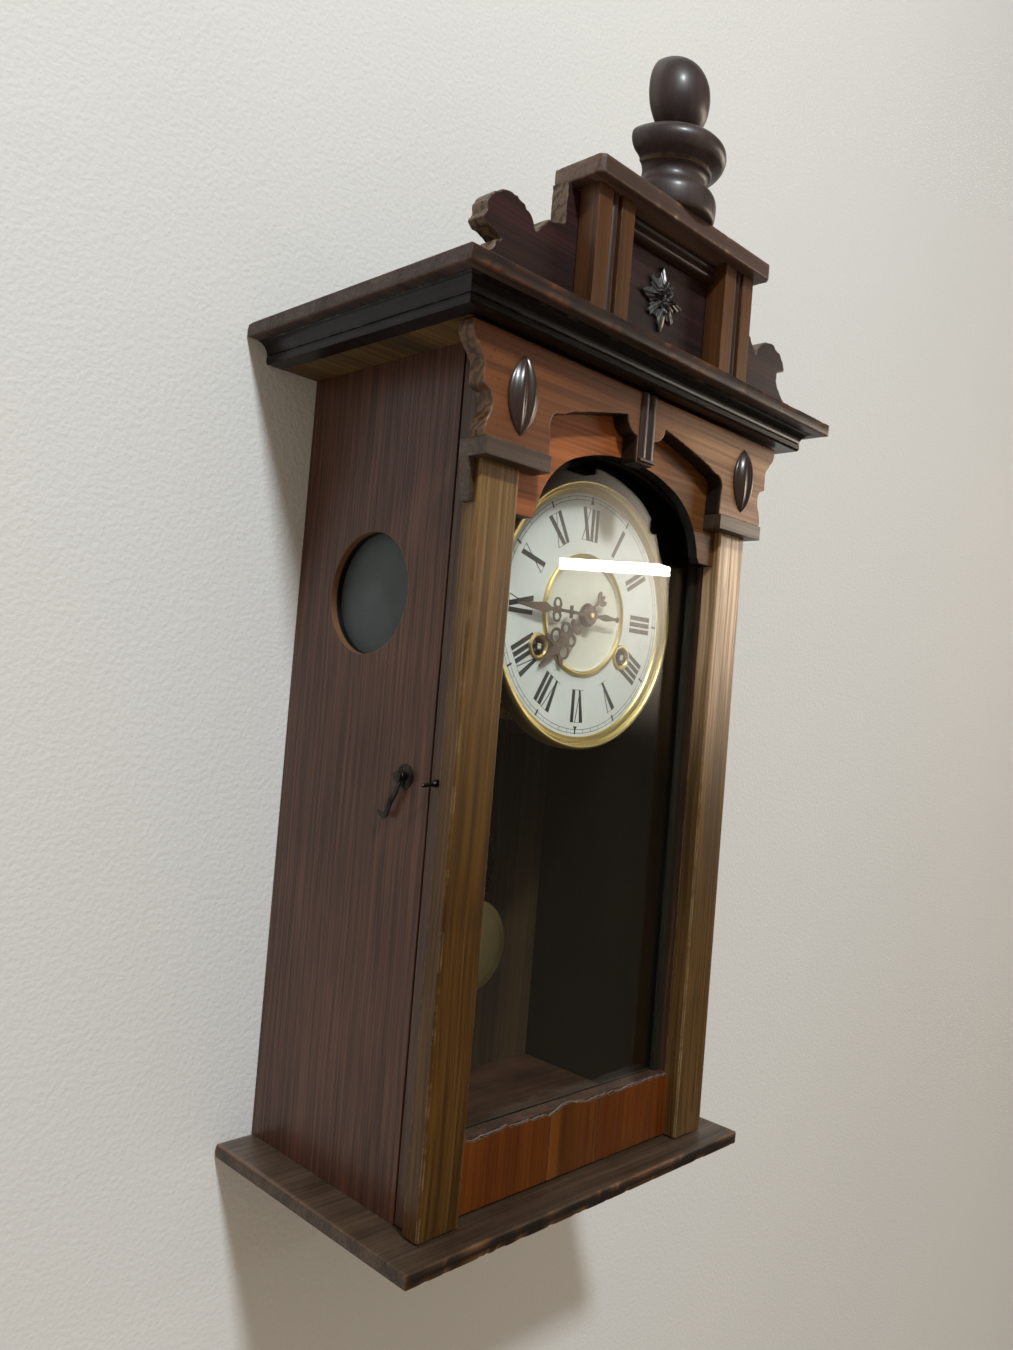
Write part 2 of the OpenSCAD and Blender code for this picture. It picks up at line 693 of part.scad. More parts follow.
module case_hinges() {
  color([0.5, 0.4, 0.2]) hung() for (z = hinge_z) translate([0, 0, z]) {
    hinge_half(case_d, [[-leaf_half - join_gap, leaf_half + join_gap]], pin_r);
    translate([hinge_x, -hinge_d, -hinge_len / 2]) cylinder(h = hinge_len, r = pin_r);
  }
}

module door_hinge_leaves() {
  color([0.5, 0.4, 0.2]) hung() for (z = hinge_z) translate([0, 0, z])
    hinge_half(door_d0 - leaf_t, [[-hinge_len, -leaf_half], [leaf_half, hinge_len]], pin_r + run);
}

// Door

module door_stile(x0, x1) {
  difference() {
    block(x0, x1, door_d0, door_d1, door_z0, door_z1);
    // Rebate for the glass, open to the back.
    slab(door_d0 - 1, glass_d1) polygon(arch(-rebate, rail_z1 - rebate));
    slab(door_d0 - 1, door_d1 + 1) polygon(arch(0, rail_z1));
  }
}

module door_stile_left() { color([0.3, 0.19, 0.12]) hung() door_stile(-case_x, -open_a); }
module door_stile_right() { color([0.3, 0.19, 0.12]) hung() door_stile(open_a, case_x); }

// Right half of the fascia's arch: a flat crown, a tight shoulder and a small foot.
function fascia_half() =
  let (cx = 0.31 * open_a, small = 50, turn = 22.6, big = small + cx / sin(turn),
    top = door_z1 - fascia_drop, cz = top - big + (big - small) * cos(turn), foot = 0.836 * open_a)
  concat([[0, top]], arc(0, top - big, big, 90, 90 - turn, 6, 1), arc(cx, cz, small, 90 - turn, 10, 10, 1),
    [[foot, open_spring], [foot, open_spring - 1], [0, open_spring - 1]]);

// The top rail, with a thinner arched fascia in front that hides the upper ends of the stiles.
module door_arch_rail() {
  color([0.32, 0.19, 0.12]) hung() difference() {
    union() {
      block(-open_a, open_a, door_d0, fascia_d1, open_spring, door_z1);
      block(-case_x, case_x, door_d1, fascia_d1, capital_z1, door_z1);
    }
    slab(door_d0 - 1, glass_d1) polygon(arch(-rebate, rail_z1 - rebate));
    slab(door_d0 - 1, door_d1) polygon(arch(0, rail_z1));
    slab(door_d0 - 1, fascia_d1 + 1) polygon(both_halves(fascia_half()));
    both_sides() block(cap_in, case_x + 1, door_d1, fascia_d1 + 1, capital_z0, capital_z1);
  }
}

module door_bottom_rail() {
  color([0.5, 0.36, 0.24]) hung() difference() {
    block(-open_a, open_a, door_d0, door_d1, door_z0, rail_z1);
    block(-open_a - 1, open_a + 1, door_d0 - 1, glass_d1, rail_z1 - rebate, rail_z1 + 1);
  }
}

module rail_facings() {
  // Joints between the three pieces, from the middle.
  joints = [-pil_in, -20, 26, pil_in];
  color([0.42, 0.18, 0.09]) hung() for (i = [0 : 2])
    block(joints[i], joints[i + 1] - 0.15, door_d1, door_d1 + facing_t, door_z0, rail_z1 - 1);
}

module door_glass() {
  color([0.75, 0.8, 0.78, 0.3]) hung() slab(glass_d0, glass_d1)
    polygon(arch(-rebate + 0.4, rail_z1 - rebate + 0.4));
}

// The black strip before the glass, and the strip that holds the glass from behind.
module glass_beads() {
  color([0.05, 0.05, 0.05]) hung() {
    slab(glass_d1, door_d1 - 5) difference() {
      polygon(arch(0, rail_z1));
      polygon(arch(liner_t, rail_z1 - 1));
    }
    slab(door_d0 + 0.3, glass_d0) difference() {
      polygon(arch(-rebate, rail_z1 - rebate));
      polygon(arch(0.5, rail_z1 + 0.5));
    }
  }
}

module pilaster() {
  difference() {
    block(pil_in, pil_out, door_d1, pil_d1, door_z0, capital_z0);
    // Front corners eased by a fine bevel.
    for (x = [pil_in, pil_out]) translate([x, -pil_d1, 0]) rotate([0, 0, 45])
      translate([-0.7, -0.7, -1]) cube([1.4, 1.4, case_h]);
  }
}

module pilaster_left() { color([0.34, 0.25, 0.13]) hung() mirror([1, 0, 0]) pilaster(); }
module pilaster_right() { color([0.4, 0.28, 0.18]) hung() pilaster(); }

// A slim ear that tapers down beside the pilaster, x0 at the pilaster and x1 outwards.
module ear(x0, x1) {
  fall = 23;
  slab(door_d1, door_d1 + facing_t + 4.5)
    polygon([[x0, capital_z0], [x1, capital_z0], [x1 + (x0 - x1) * 0.35, capital_z0 - fall * 0.5],
      [x1 + (x0 - x1) * 0.55, capital_z0 - fall], [x0, capital_z0 - fall]]);
}

module capitals() {
  color([0.2, 0.16, 0.13]) hung() both_sides() {
    block(cap_in, cap_out, door_d1, capital_d1, capital_z0, capital_z1);
    ear(pil_out + 0.05, min(cap_out, pil_out + 5.5));
  }
}

// Half of the frieze outline: stepped outer edge, and an arched cut-out beside a drop.
function frieze_half() =
  let (z0 = capital_z1, z1 = door_z1, h = frieze_h, drop = pendant_w / 2 + 0.8)
  concat([[0, z0 + 0.25 * h], [drop, z0 + 0.25 * h]], arc(drop, z0 + 0.71 * h, 0.183 * h, 270, 360, 5),
    [[0.59 * cap_in, z0 + 0.591 * h], [0.78 * cap_in, z0 + 0.518 * h], [0.9 * cap_in, z0 + 0.45 * h]],
    arc(cap_in - 6, z0 + 0.311 * h, 7.5, 80, 0, 5),
    [[cap_in + 0.4, z0 + 0.18 * h], [cap_in, z0], [cap_out + 0.5, z0], [cap_out + 0.8, z0 + 0.07 * h],
      [cap_out - 0.5, z0 + 0.16 * h], [cap_out - 3.1, z0 + 0.26 * h], [cap_out - 3.1, z0 + 0.35 * h],
      [cap_out - 1.5, z0 + 0.42 * h], [cap_out + 4.2, z0 + 0.46 * h], [cap_out + 4.2, z0 + 0.68 * h]],
    arc(cap_out + 2.4, z1 - 0.04 * h, 12, -50, 0, 5),
    [[cap_out + 14.4, z1], [0, z1]]);

module frieze_board() {
  color([0.36, 0.22, 0.13]) hung() slab(frieze_d0, frieze_d1) polygon(both_halves(frieze_half()));
}

// An almond-shaped boss whose face is worked into two reeds with a groove between.
module frieze_bosses() {
  r = (boss_h * boss_h + boss_w * boss_w) / (4 * boss_w);
  turn = asin(boss_h / 2 / r);
  mid = r - boss_w / 2;
  crown = 6;
  dome = (boss_h * boss_h / 4 + crown * crown) / (2 * crown);
  color([0.12, 0.08, 0.07]) hung() both_sides()
    translate([cap_x, -frieze_d1, capital_z1 + 5.5 + boss_h / 2]) intersection() {
      slab(0, crown) polygon(concat(arc(-mid, 0, r, -turn, turn, 16), arc(mid, 0, r, 180 - turn, 180 + turn, 16)));
      translate([0, 2.5 - crown, -boss_h]) rotate([0, 0, 180]) linear_extrude(2 * boss_h)
        polygon(reeds(2, boss_w / 2, 2.5, crown - 2.5));
      translate([-boss_w, dome - crown, 0]) rotate([0, 90, 0]) cylinder(h = 2 * boss_w, r = dome);
    }
}

// A strip of two reeds that ends in a small flat block.
module frieze_pendant() {
  z0 = capital_z1 + 0.27 * frieze_h;
  color([0.14, 0.09, 0.07]) hung() {
    translate([0, -frieze_d1 - 0.4, z0]) rotate([0, 0, 180]) linear_extrude(door_z1 - z0)
      polygon(reeds(2, pendant_w / 2, 1.6, 0.4));
    block(-pendant_w / 2, pendant_w / 2, frieze_d1, frieze_d1 + 2.4, z0, z0 + 1.6);
  }
}

// The catch of the hook: a pin with a collar that stands out from the stile.
module hook_eye() {
  color([0.15, 0.14, 0.13]) hung() translate([-case_x, -catch_d, hook_h - 0.7]) rotate([0, -90, 0]) {
    cylinder(h = catch_len, r = catch_r);
    cylinder(h = collar_t, r = collar_r);
  }
}

// A hook on its pin: it leans towards the wall and its tip turns up that way.
module side_hook() {
  path = hook_len * concat([[0, -0.08], [0.06, -0.24], [0.16, -0.42], [0.26, -0.58], [0.335, -0.72]],
    arc(0.465, -0.775, 0.13, 180, 300, 5), [[0.61, -0.85], [0.655, -0.785]]);
  color([0.13, 0.12, 0.11]) hung() translate([-hook_x - hook_t / 2, -hook_d, hook_h]) rotate([90, 0, 90])
    difference() {
      union() {
        cylinder(h = hook_t, r = 3.3);
        linear_extrude(hook_t) polygon(band(path, 2.8));
      }
      translate([0, 0, -1]) cylinder(h = hook_t + 2, r = screw_r + run);
    }
}

// Dial

module dial_pan() {
  recess = 1.4;
  color([0.9, 0.9, 0.88]) at_hands() difference() {
    union() {
      turned_y(0, 0, [[0, dial_d - recess - 1.2], [ring_r - 1, dial_d - recess - 1.2],
        [ring_r - 1, dial_d - 1.2], [dial_r + 4, dial_d - 1.2], [dial_r + 4, dial_d - 8],
        [dial_r + 5, dial_d - 8], [dial_r + 5, dial_d], [ring_r - 2, dial_d],
        [ring_r - 2, dial_d - recess], [0, dial_d - recess]]);
      for (p = foot_at) rod_y(p[0], p[1], front_d1, dial_d - 1, 2);
    }
    rod_y(0, 0, dial_d - 5, dial_d + 1, pipe_r + 0.5);
    for (x = [-wind_x, wind_x]) rod_y(x, -wind_z, dial_d - 5, dial_d + 1, grommet_r - 1.6);
  }
}

module dial_bezel() {
  out = dial_r + bezel_w;
  mid = dial_r + bezel_w / 2;
  color([0.75, 0.6, 0.25]) at_hands() turned_y(0, 0, concat([[dial_r, dial_d], [dial_r + 0.6, dial_d + 1.6]],
    arc(mid + 0.4, dial_d + 2.4, 0.4 * bezel_w, 165, 20, 8),
    [[out - 0.4, dial_d + 1.4], [out, dial_d + 0.8], [out, dial_d - 6], [out - 0.8, dial_d - 6],
    [out - 0.8, dial_d]]));
}

// The ring round the middle of the dial and the two winding grommets, all pressed brass.
module dial_rings() {
  color([0.75, 0.6, 0.25]) at_hands() {
    turned_y(0, 0, concat([[ring_r - 2, dial_d], [ring_r + 1.6, dial_d]],
      arc(ring_r - 0.2, dial_d + 0.2, 1.8, 0, 180, 8)));
    for (x = [-wind_x, wind_x]) turned_y(x, -wind_z, concat([[grommet_r, dial_d]],
      arc(grommet_r - 1.3, dial_d + 0.1, 1.3, 0, 150, 6),
      [[grommet_r - 2.9, dial_d], [grommet_r - 2.9, dial_d - 2.8], [grommet_r - 1.8, dial_d - 2.8],
      [grommet_r - 1.8, dial_d]]));
  }
}

// Movement

module plate_outline() {
  polygon([[-plate_x, -plate_low + plate_cut], [-plate_x + plate_cut, -plate_low],
    [plate_x - plate_cut, -plate_low], [plate_x, -plate_low + plate_cut],
    [plate_x, plate_top - plate_cut], [plate_x - plate_cut, plate_top],
    [-plate_x + plate_cut, plate_top], [-plate_x, plate_top - plate_cut]]);
}

module plate(d0) {
  difference() {
    slab(d0, d0 + plate_t) plate_outline();
    for (x = [-wind_x, wind_x]) rod_y(x, -wind_z, d0 - 1, d0 + plate_t + 1, wind_r + run);
    rod_y(0, 0, d0 - 1, d0 + plate_t + 1, centre_r + run);
    for (p = [[third_x, third_z], [0, escape_z], [0, verge_z], [hammer_x, hammer_z]])
      rod_y(p[0], p[1], d0 - 1, d0 + plate_t + 1, arbor_r + run);
  }
}

module front_plate() {
  color([0.72, 0.58, 0.28]) at_hands() {
    plate(front_d0);
    rod_y(motion_dist * cos(motion_dir), motion_dist * sin(motion_dir), front_d1, hour_level + 3, stud_r);
  }
}

// The back plate carries the cock that the pendulum hangs from.
module back_plate() {
  color([0.72, 0.58, 0.28]) at_hands() {
    difference() {
      plate(back_plate_d0);
      for (p = mount_at) rod_y(p[0], p[1], back_plate_d0 - 1, back_plate_d1 + 1, screw_r + screw_gap);
    }
    block(-6, 6, pendulum_d - 4, back_plate_d0, verge_z + 2.5, verge_z + 5.5);
    difference() {
      for (d = [pendulum_d - 4, pendulum_d + 2.7])
        block(-4, 4, d, d + 1.3, verge_z - 4, verge_z + 2.5);
      rod_y(0, verge_z, pendulum_d - 5, pendulum_d + 5, arbor_r + run);
    }
  }
}

module plate_pillars() {
  color([0.7, 0.56, 0.28]) at_hands() for (p = pillar_at) turned_y(p[0], p[1],
    [[0, back_plate_d1], [3.6, back_plate_d1], [3.6, back_plate_d1 + 3], [2.6, back_plate_d1 + 5],
    [2.6, front_d0 - 5], [3.6, front_d0 - 3], [3.6, front_d0], [0, front_d0]]);
}

// A spring barrel on its great wheel. The winding arbor turns in its middle.
module barrel(x, n, rp, gap_dir) {
  d1 = great_level + great_t;
  lid = centre_level - 3;
  difference() {
    union() {
      wheel(x, -wind_z, great_level, great_t, n, rp, gap_dir, rp - barrel_r, barrel_r);
      rod_y(x, -wind_z, d1, lid, barrel_r);
    }
    rod_y(x, -wind_z, d1, lid - 1, barrel_r - 1.2);
    rod_y(x, -wind_z, great_level - 1, lid + 1, wind_r + run);
  }
}

module time_barrel() {
  color([0.74, 0.6, 0.3]) at_hands() barrel(wind_x, great_n, great_rp, wind_dir);
}

module strike_barrel() {
  color([0.74, 0.6, 0.3]) at_hands() barrel(-wind_x, strike_n, strike_rp, 0);
}

// A winding arbor: ratchet, spring coil inside the barrel and a square for the key.
module winding_arbor(x) {
  inner = 6;
  steps = 16 * spring_turns;
  reach = barrel_r - 1.2 - 1 - inner;
  lid = centre_level - 3;
  d1 = great_level + great_t;
  function at(i, off) = let (a = 360 * i / 16, r = inner - 0.6 + reach * i / steps + off) [r * cos(a), r * sin(a)];
  rod_y(x, -wind_z, back_plate_d0 + 0.3, front_d1 + 1, wind_r);
  translate([x, 0, -wind_z]) {
    slab(front_d1 + 1, dial_d + 1) square(wind_r * 1.35, center = true);
    slab(great_level - 4, great_level - 2) teeth(20, 8, 0, 1, 0.6, 0.9, 0.1);
    slab(d1 + 1, lid - 2) {
      circle(r = inner);
      polygon(concat([for (i = [0 : steps]) at(i, 0)], [for (i = [steps : -1 : 0]) at(i, 0.6)]));
    }
  }
}

module time_arbor() { color([0.45, 0.45, 0.45]) at_hands() winding_arbor(wind_x); }
module strike_arbor() { color([0.45, 0.45, 0.45]) at_hands() winding_arbor(-wind_x); }

module centre_wheel() {
  color([0.74, 0.6, 0.3]) at_hands() {
    rod_y(0, 0, back_plate_d0 + 0.3, dial_d + 7.5, centre_r);
    wheel(0, 0, centre_level, wheel_t, centre_n, centre_rp, third_dir, 3, 6);
    lantern(0, 0, great_level - 1.4, great_level + great_t + 1.4, centre_leaves,
      centre_lantern_rp, wind_dir + 180, 0.8);
    lantern(0, 0, minute_level - 1.2, minute_level + motion_t + 1.2, cannon_leaves,
      motion_dist - minute_rp, motion_dir, 0.6);
  }
}

module third_wheel() {
  color([0.74, 0.6, 0.3]) at_hands() {
    rod_y(third_x, third_z, back_plate_d0 + 0.3, front_d1 - 0.3, arbor_r);
    wheel(third_x, third_z, third_level, wheel_t, third_n, third_rp, escape_dir, 2.6, 4);
    lantern(third_x, third_z, centre_level - 1.4, centre_level + wheel_t + 1.4, third_leaves,
      third_dist - centre_rp, third_dir + 180, 0.8);
  }
}

module escape_wheel() {
  color([0.74, 0.6, 0.3]) at_hands() {
    rod_y(0, escape_z, back_plate_d0 + 0.3, front_d1 - 0.3, arbor_r);
    lantern(0, escape_z, third_level - 1.4, third_level + wheel_t + 1.4, escape_leaves,
      escape_dist - third_rp, escape_dir + 180, 0.8);
    translate([0, 0, escape_z]) slab(escape_level, escape_level + wheel_t) difference() {
      teeth(escape_n, escape_r, 90 + 180 / escape_n, 0, escape_depth, 0.5, 0.08);
      difference() {
        circle(r = escape_r - escape_depth - 2);
        circle(r = 3);
        for (a = [0, 90]) rotate(a) square([2 * escape_r, 2], center = true);
      }
    }
  }
}

module minute_wheel() {
  x = motion_dist * cos(motion_dir);
  z = motion_dist * sin(motion_dir);
  color([0.74, 0.6, 0.3]) at_hands() difference() {
    union() {
      wheel(x, z, minute_level, motion_t, minute_n, minute_rp, motion_dir + 180, 2.4, 3);
      rod_y(x, z, minute_level, hour_level + motion_t + 1, 1.75);
      lantern(x, z, hour_level - 1.2, hour_level + motion_t + 1.2, minute_leaves,
        motion_dist - hour_rp, motion_dir + 180, 0.6);
    }
    rod_y(x, z, front_d1, dial_d, stud_r + run);
  }
}

module hour_wheel() {
  color([0.74, 0.6, 0.3]) at_hands() difference() {
    union() {
      wheel(0, 0, hour_level, motion_t, hour_n, hour_rp, motion_dir, 2.4, 4);
      rod_y(0, 0, hour_level - 1, dial_d + 3.6, pipe_r);
    }
    rod_y(0, 0, hour_level - 2, dial_d + 6, centre_r + run);
  }
}

// The hour hand, pointing up, with pierced scrolls and a forked tail.
module hour_shape(t) {
  k = hour_len / 54;
  slab(0, t) polygon(both_halves([[0, -18], [2.6, -21], [5, -19], [3.4, -15.5], [1.2, -13.5], [1, -5],
    [3, 0], [1, 5], [1, 12 * k], [3, 12.6 * k], [1, 14.4 * k], [0.9, 24 * k], [2.8, 38.5 * k], [0.3, hour_len],
    [0, hour_len]]));
  rod_y(0, 0, 0, t, 7.4);
  for (x = [-1, 1]) {
    rod_y(x * 4.6, 21.5 * k, 0, t, 3.9);
    rod_y(x * 6, 31 * k, 0, t, 5);
    slab(0, t) polygon([[x * 7, 28 * k], [x * 11.6, 36 * k], [x * 8.6, 38.5 * k], [x * 1.5, 35 * k]]);
  }
}

// The minute hand, pointing up, with two rings and a spear-shaped blade.
module minute_shape(t) {
  k = minute_len / 66;
  slab(0, t) polygon(both_halves([[0, -29], [2.2, -23], [0.9, -20], [2.2, -14], [1, -9], [1, 17 * k],
    [3.8, 18 * k], [3.8, 19 * k], [1, 20 * k], [0.8, 36 * k], [3.1, 45 * k], [0.3, minute_len], [0, minute_len]]));
  rod_y(0, 0, 0, t, 6.4);
  for (x = [-1, 1]) rod_y(x * 3.8, 31 * k, 0, t, 3.6);
}

module hour_hand() {
  k = hour_len / 54;
  t = 0.8;
  color([0.27, 0.2, 0.15]) at_hands() translate([0, -dial_d - 2.4, 0]) rotate([0, hour_angle, 0]) difference() {
    hour_shape(t);
    for (x = [-1, 1]) {
      rod_y(x * 4.6, 21.5 * k, -1, 2, 2.5);
      rod_y(x * 6.2, 31 * k, -1, 2, 3.4);
    }
    rod_y(0, 0, -1, 2, pipe_r + 0.02);
  }
}

// The minute hand with the collet that holds it on its arbor.
module minute_hand() {
  k = minute_len / 66;
  t = 0.8;
  color([0.27, 0.2, 0.15]) at_hands() translate([0, -dial_d - 5, 0]) rotate([0, minute_angle, 0]) difference() {
    union() {
      minute_shape(t);
      rod_y(0, 0, 0, 2, 2.6);
    }
    for (x = [-1, 1]) rod_y(x * 4, 31 * k, -1, 2, 2.3);
    rod_y(0, 0, -1, 3, centre_r + 0.02);
  }
}

// The anchor, its arbor and the crutch that drives the pendulum.
module verge() {
  pallet = 4 * 360 / escape_n;
  reach = escape_r + 0.25;
  px = reach * sin(pallet);
  pz = escape_z + reach * cos(pallet);
  crutch_d = pendulum_d + 9;
  color([0.4, 0.4, 0.4]) at_hands() {
    rod_y(0, verge_z, crutch_d, front_d1 - 0.3, arbor_r);
    slab(escape_level - 0.2, escape_level + wheel_t + 0.2) for (s = [-1, 1]) {
      polygon([[0, verge_z + 1.5], [s * (px + 3), pz + 5.6], [s * (px + 3.2), pz + 2.6], [s * (px + 0.5), pz],
        [s * px, pz], [s * (px + 0.4), pz + 4], [0, verge_z - 1.8]]);
    }
    slab(crutch_d, crutch_d + 1.2) {
      translate([0, verge_z]) circle(r = 2.3);
      translate([-1.2, -6]) square([2.4, verge_z + 6]);
    }
    for (s = [-1, 1]) block(min(s * 1.7, s * 2.9), max(s * 1.7, s * 2.9), pendulum_d - 4, crutch_d + 1.2, -6, -4.5);
    block(-2.9, 2.9, crutch_d, crutch_d + 1.2, -6, -4.5);
  }
}

module pendulum_rod() {
  rod_r = 1.3;
  color([0.68, 0.56, 0.3]) at_hands() {
    rod_y(0, verge_z, pendulum_d - 4, pendulum_d + 4, arbor_r);
    block(-0.3, 0.3, pendulum_d - 2.3, pendulum_d + 2.3, verge_z - 16, verge_z);
    block(-3, 3, pendulum_d - 2.3, pendulum_d + 2.3, verge_z - 20, verge_z - 14);
    translate([0, -pendulum_d, verge_z - pendulum_len - bob_r - 9])
      cylinder(h = pendulum_len + bob_r - 9, r = rod_r);
    // Rating nut and washer under the bob.
    translate([0, -pendulum_d, verge_z - pendulum_len - bob_r - 5]) cylinder(h = 4, r = 4, $fn = 48);
  }
}

module pendulum_bob() {
  rod_r = 1.3;
  color([0.72, 0.58, 0.26]) at_hands() translate([0, 0, verge_z - pendulum_len]) difference() {
    turned_y(0, 0, [[0, pendulum_d - bob_t / 2 + 1], [bob_r * 0.7, pendulum_d - bob_t / 2 + 2],
      [bob_r, pendulum_d - 1.5], [bob_r, pendulum_d + 1.5], [bob_r * 0.84, pendulum_d + bob_t / 2 - 2],
      [bob_r * 0.8, pendulum_d + bob_t / 2 - 1.4], [bob_r * 0.5, pendulum_d + bob_t / 2 - 0.5],
      [0, pendulum_d + bob_t / 2]]);
    translate([0, -pendulum_d, -2 * bob_r]) cylinder(h = 4 * bob_r, r = rod_r + 0.1);
  }
}

// The hammer's arbor, its bent wire and its head beside the gong's outer end.
module hammer() {
  wire_r = 1;
  lever_d = back_plate_d0 - 6;
  mid_d = gong_d + gong_t / 2;
  head_z = gong_z - hand_z + gong_r + 9;
  head_x = -10;
  run_x = head_x - hammer_side;
  run_z = head_z - hammer_z;
  color([0.45, 0.42, 0.36]) at_hands() {
    rod_y(hammer_x, hammer_z, lever_d - 1, front_d1 - 0.3, arbor_r);
    translate([hammer_side - wire_r, -lever_d, hammer_z]) rotate([0, 90, 0])
      cylinder(h = hammer_x - hammer_side + wire_r, r = wire_r);
    rod_y(hammer_side, hammer_z, mid_d - wire_r, lever_d + wire_r, wire_r);
    translate([hammer_side, -mid_d, hammer_z]) rotate([0, atan2(run_x, run_z), 0])
      cylinder(h = sqrt(run_x * run_x + run_z * run_z), r = wire_r);
    translate([head_x - 6, -mid_d, head_z]) rotate([0, 90, 0]) cylinder(h = 12, r = hammer_head_r);
  }
}

back_board();
side_panel_left();
side_panel_right();
floor_board();
base_board();
case_soffit();
cornice_moulding();
cornice_board();
pediment_board();
pediment_blocks();
pediment_beads();
pediment_rail();
pediment_rosette();
pediment_cap();
finial();
sound_gauzes();
hanger_plate();
case_screws();
movement_cleats();
gong_stand();
gong_coil();
hook_rosette();
case_hinges();
door_stile_left();
door_stile_right();
door_arch_rail();
door_bottom_rail();
rail_facings();
door_glass();
glass_beads();
pilaster_left();
pilaster_right();
capitals();
frieze_board();
frieze_bosses();
frieze_pendant();
door_hinge_leaves();
hook_eye();
side_hook();
dial_pan();
dial_bezel();
dial_rings();
front_plate();
back_plate();
plate_pillars();
time_barrel();
strike_barrel();
time_arbor();
strike_arbor();
centre_wheel();
third_wheel();
escape_wheel();
minute_wheel();
hour_wheel();
hour_hand();
minute_hand();
verge();
pendulum_rod();
pendulum_bob();
hammer();
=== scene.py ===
"""Wall regulator clock: an arched, glazed wooden case with a white dial, a pendulum and a gong.

Places are given as the case maker measured them: x across, d out from the wall and z up
from the top of the base board, all in millimetres. The hanging hole is the scene's origin.
"""
from math import cos, pi, radians, sin, sqrt
import bmesh
import bpy
import numpy as np
from mathutils import Matrix


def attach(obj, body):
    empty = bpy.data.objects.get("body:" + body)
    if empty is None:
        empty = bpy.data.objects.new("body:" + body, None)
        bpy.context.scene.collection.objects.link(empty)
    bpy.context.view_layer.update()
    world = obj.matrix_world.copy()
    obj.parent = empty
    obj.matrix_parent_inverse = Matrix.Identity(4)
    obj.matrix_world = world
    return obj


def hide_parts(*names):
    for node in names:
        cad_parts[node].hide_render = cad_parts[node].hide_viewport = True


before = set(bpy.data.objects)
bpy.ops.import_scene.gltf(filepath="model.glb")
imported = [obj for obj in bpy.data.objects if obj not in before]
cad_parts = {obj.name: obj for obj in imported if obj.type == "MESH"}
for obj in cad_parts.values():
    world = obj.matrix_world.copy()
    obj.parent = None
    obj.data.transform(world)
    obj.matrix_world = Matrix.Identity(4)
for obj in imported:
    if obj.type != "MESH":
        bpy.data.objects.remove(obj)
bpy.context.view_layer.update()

# Camera. A phone held close, to the left of the clock and a little below its middle.
def linked(name, data):
    """A new object in the scene."""
    made = bpy.data.objects.new(name, data)
    bpy.context.collection.objects.link(made)
    return made


view = bpy.data.cameras.new("view")
view.lens = 27.66
view.sensor_width = 36
view.clip_start = 0.01
camera = linked("view", view)
right = (0.69871686, -0.7107606, 0.08132719)
up = (-0.07593795, 0.03935229, 0.9963357)
ahead = (0.71135657, 0.70233237, 0.02647759)
camera.matrix_world = Matrix([
    (right[0], up[0], -ahead[0], -0.499405),
    (right[1], up[1], -ahead[1], -0.562430),
    (right[2], up[2], -ahead[2], 0.283897 - 0.452),
    (0, 0, 0, 1)])
bpy.context.scene.camera = camera
bpy.context.scene.view_settings.view_transform = "Standard"


# The wall that the clock hangs on, painted off-white with a fine roller texture. From behind
# it is clear, and it stops no lamp's light, so that the clock's back shows.
def add(tree, kind, sockets=None, **settings):
    """A new shader node with its settings; a socket takes a plain value or another node's output."""
    made = tree.nodes.new("ShaderNode" + kind)
    for name, value in settings.items():
        setattr(made, name, value)
    for name, value in (sockets or {}).items():
        if isinstance(value, bpy.types.NodeSocket):
            tree.links.new(value, made.inputs[name])
        elif isinstance(value, tuple) and len(value) == 3 and made.inputs[name].type == "RGBA":
            made.inputs[name].default_value = (*value, 1)
        else:
            made.inputs[name].default_value = value
    return made


def calc(tree, operation, *numbers, **settings):
    """A number worked out from others."""
    return add(tree, "Math", dict(enumerate(numbers)), operation=operation, **settings).outputs[0]


def noise(tree, place, scale, detail, rough=0.5):
    """Cloudy noise between 0 and 1."""
    sockets = {"Vector": place, "Scale": scale, "Detail": detail, "Roughness": rough}
    return add(tree, "TexNoise", sockets).outputs["Fac"]


def ramp(tree, value, low, high, middle=None):
    """A colour from low to high, by way of middle if there is one, for a value from 0 to 1."""
    made = add(tree, "ValToRGB", {"Fac": value})
    stops = made.color_ramp.elements
    stops[0].color, stops[1].color = (*low, 1), (*high, 1)
    if middle:
        stops.new(0.5).color = (*middle, 1)
    return made.outputs["Color"]


def fresh(name):
    """An empty node material and its tree."""
    made = bpy.data.materials.new(name)
    made.use_nodes = True
    made.node_tree.nodes.clear()
    return made, made.node_tree


def sheet_of(name, corners):
    """One flat face through its corners, in metres."""
    mesh = bpy.data.meshes.new(name)
    mesh.from_pydata(corners, [], [tuple(range(len(corners)))])
    return linked(name, mesh)


wall = sheet_of("wall", [(-3, 0.0006, -1.5), (3, 0.0006, -1.5), (3, 0.0006, 2.5), (-3, 0.0006, 2.5)])
wall_paint, t = fresh("wall_paint")
place = add(t, "TexCoord")
grit = noise(t, place.outputs["Object"], 330.0, 5.0)
cloud = noise(t, place.outputs["Object"], 1.6, 3.0)
tone = ramp(t, cloud, (0.72, 0.725, 0.72), (0.79, 0.78, 0.765))
relief = add(t, "Bump", {"Height": grit, "Strength": 0.45, "Distance": 0.0014})
paint = add(t, "BsdfPrincipled", {"Base Color": tone, "Roughness": 0.7,
                                  "Normal": relief.outputs["Normal"]})
side_seen = add(t, "NewGeometry")
lamp_ray = add(t, "LightPath")
either = calc(t, "MAXIMUM", side_seen.outputs["Backfacing"], lamp_ray.outputs["Is Shadow Ray"])
clear = add(t, "BsdfTransparent")
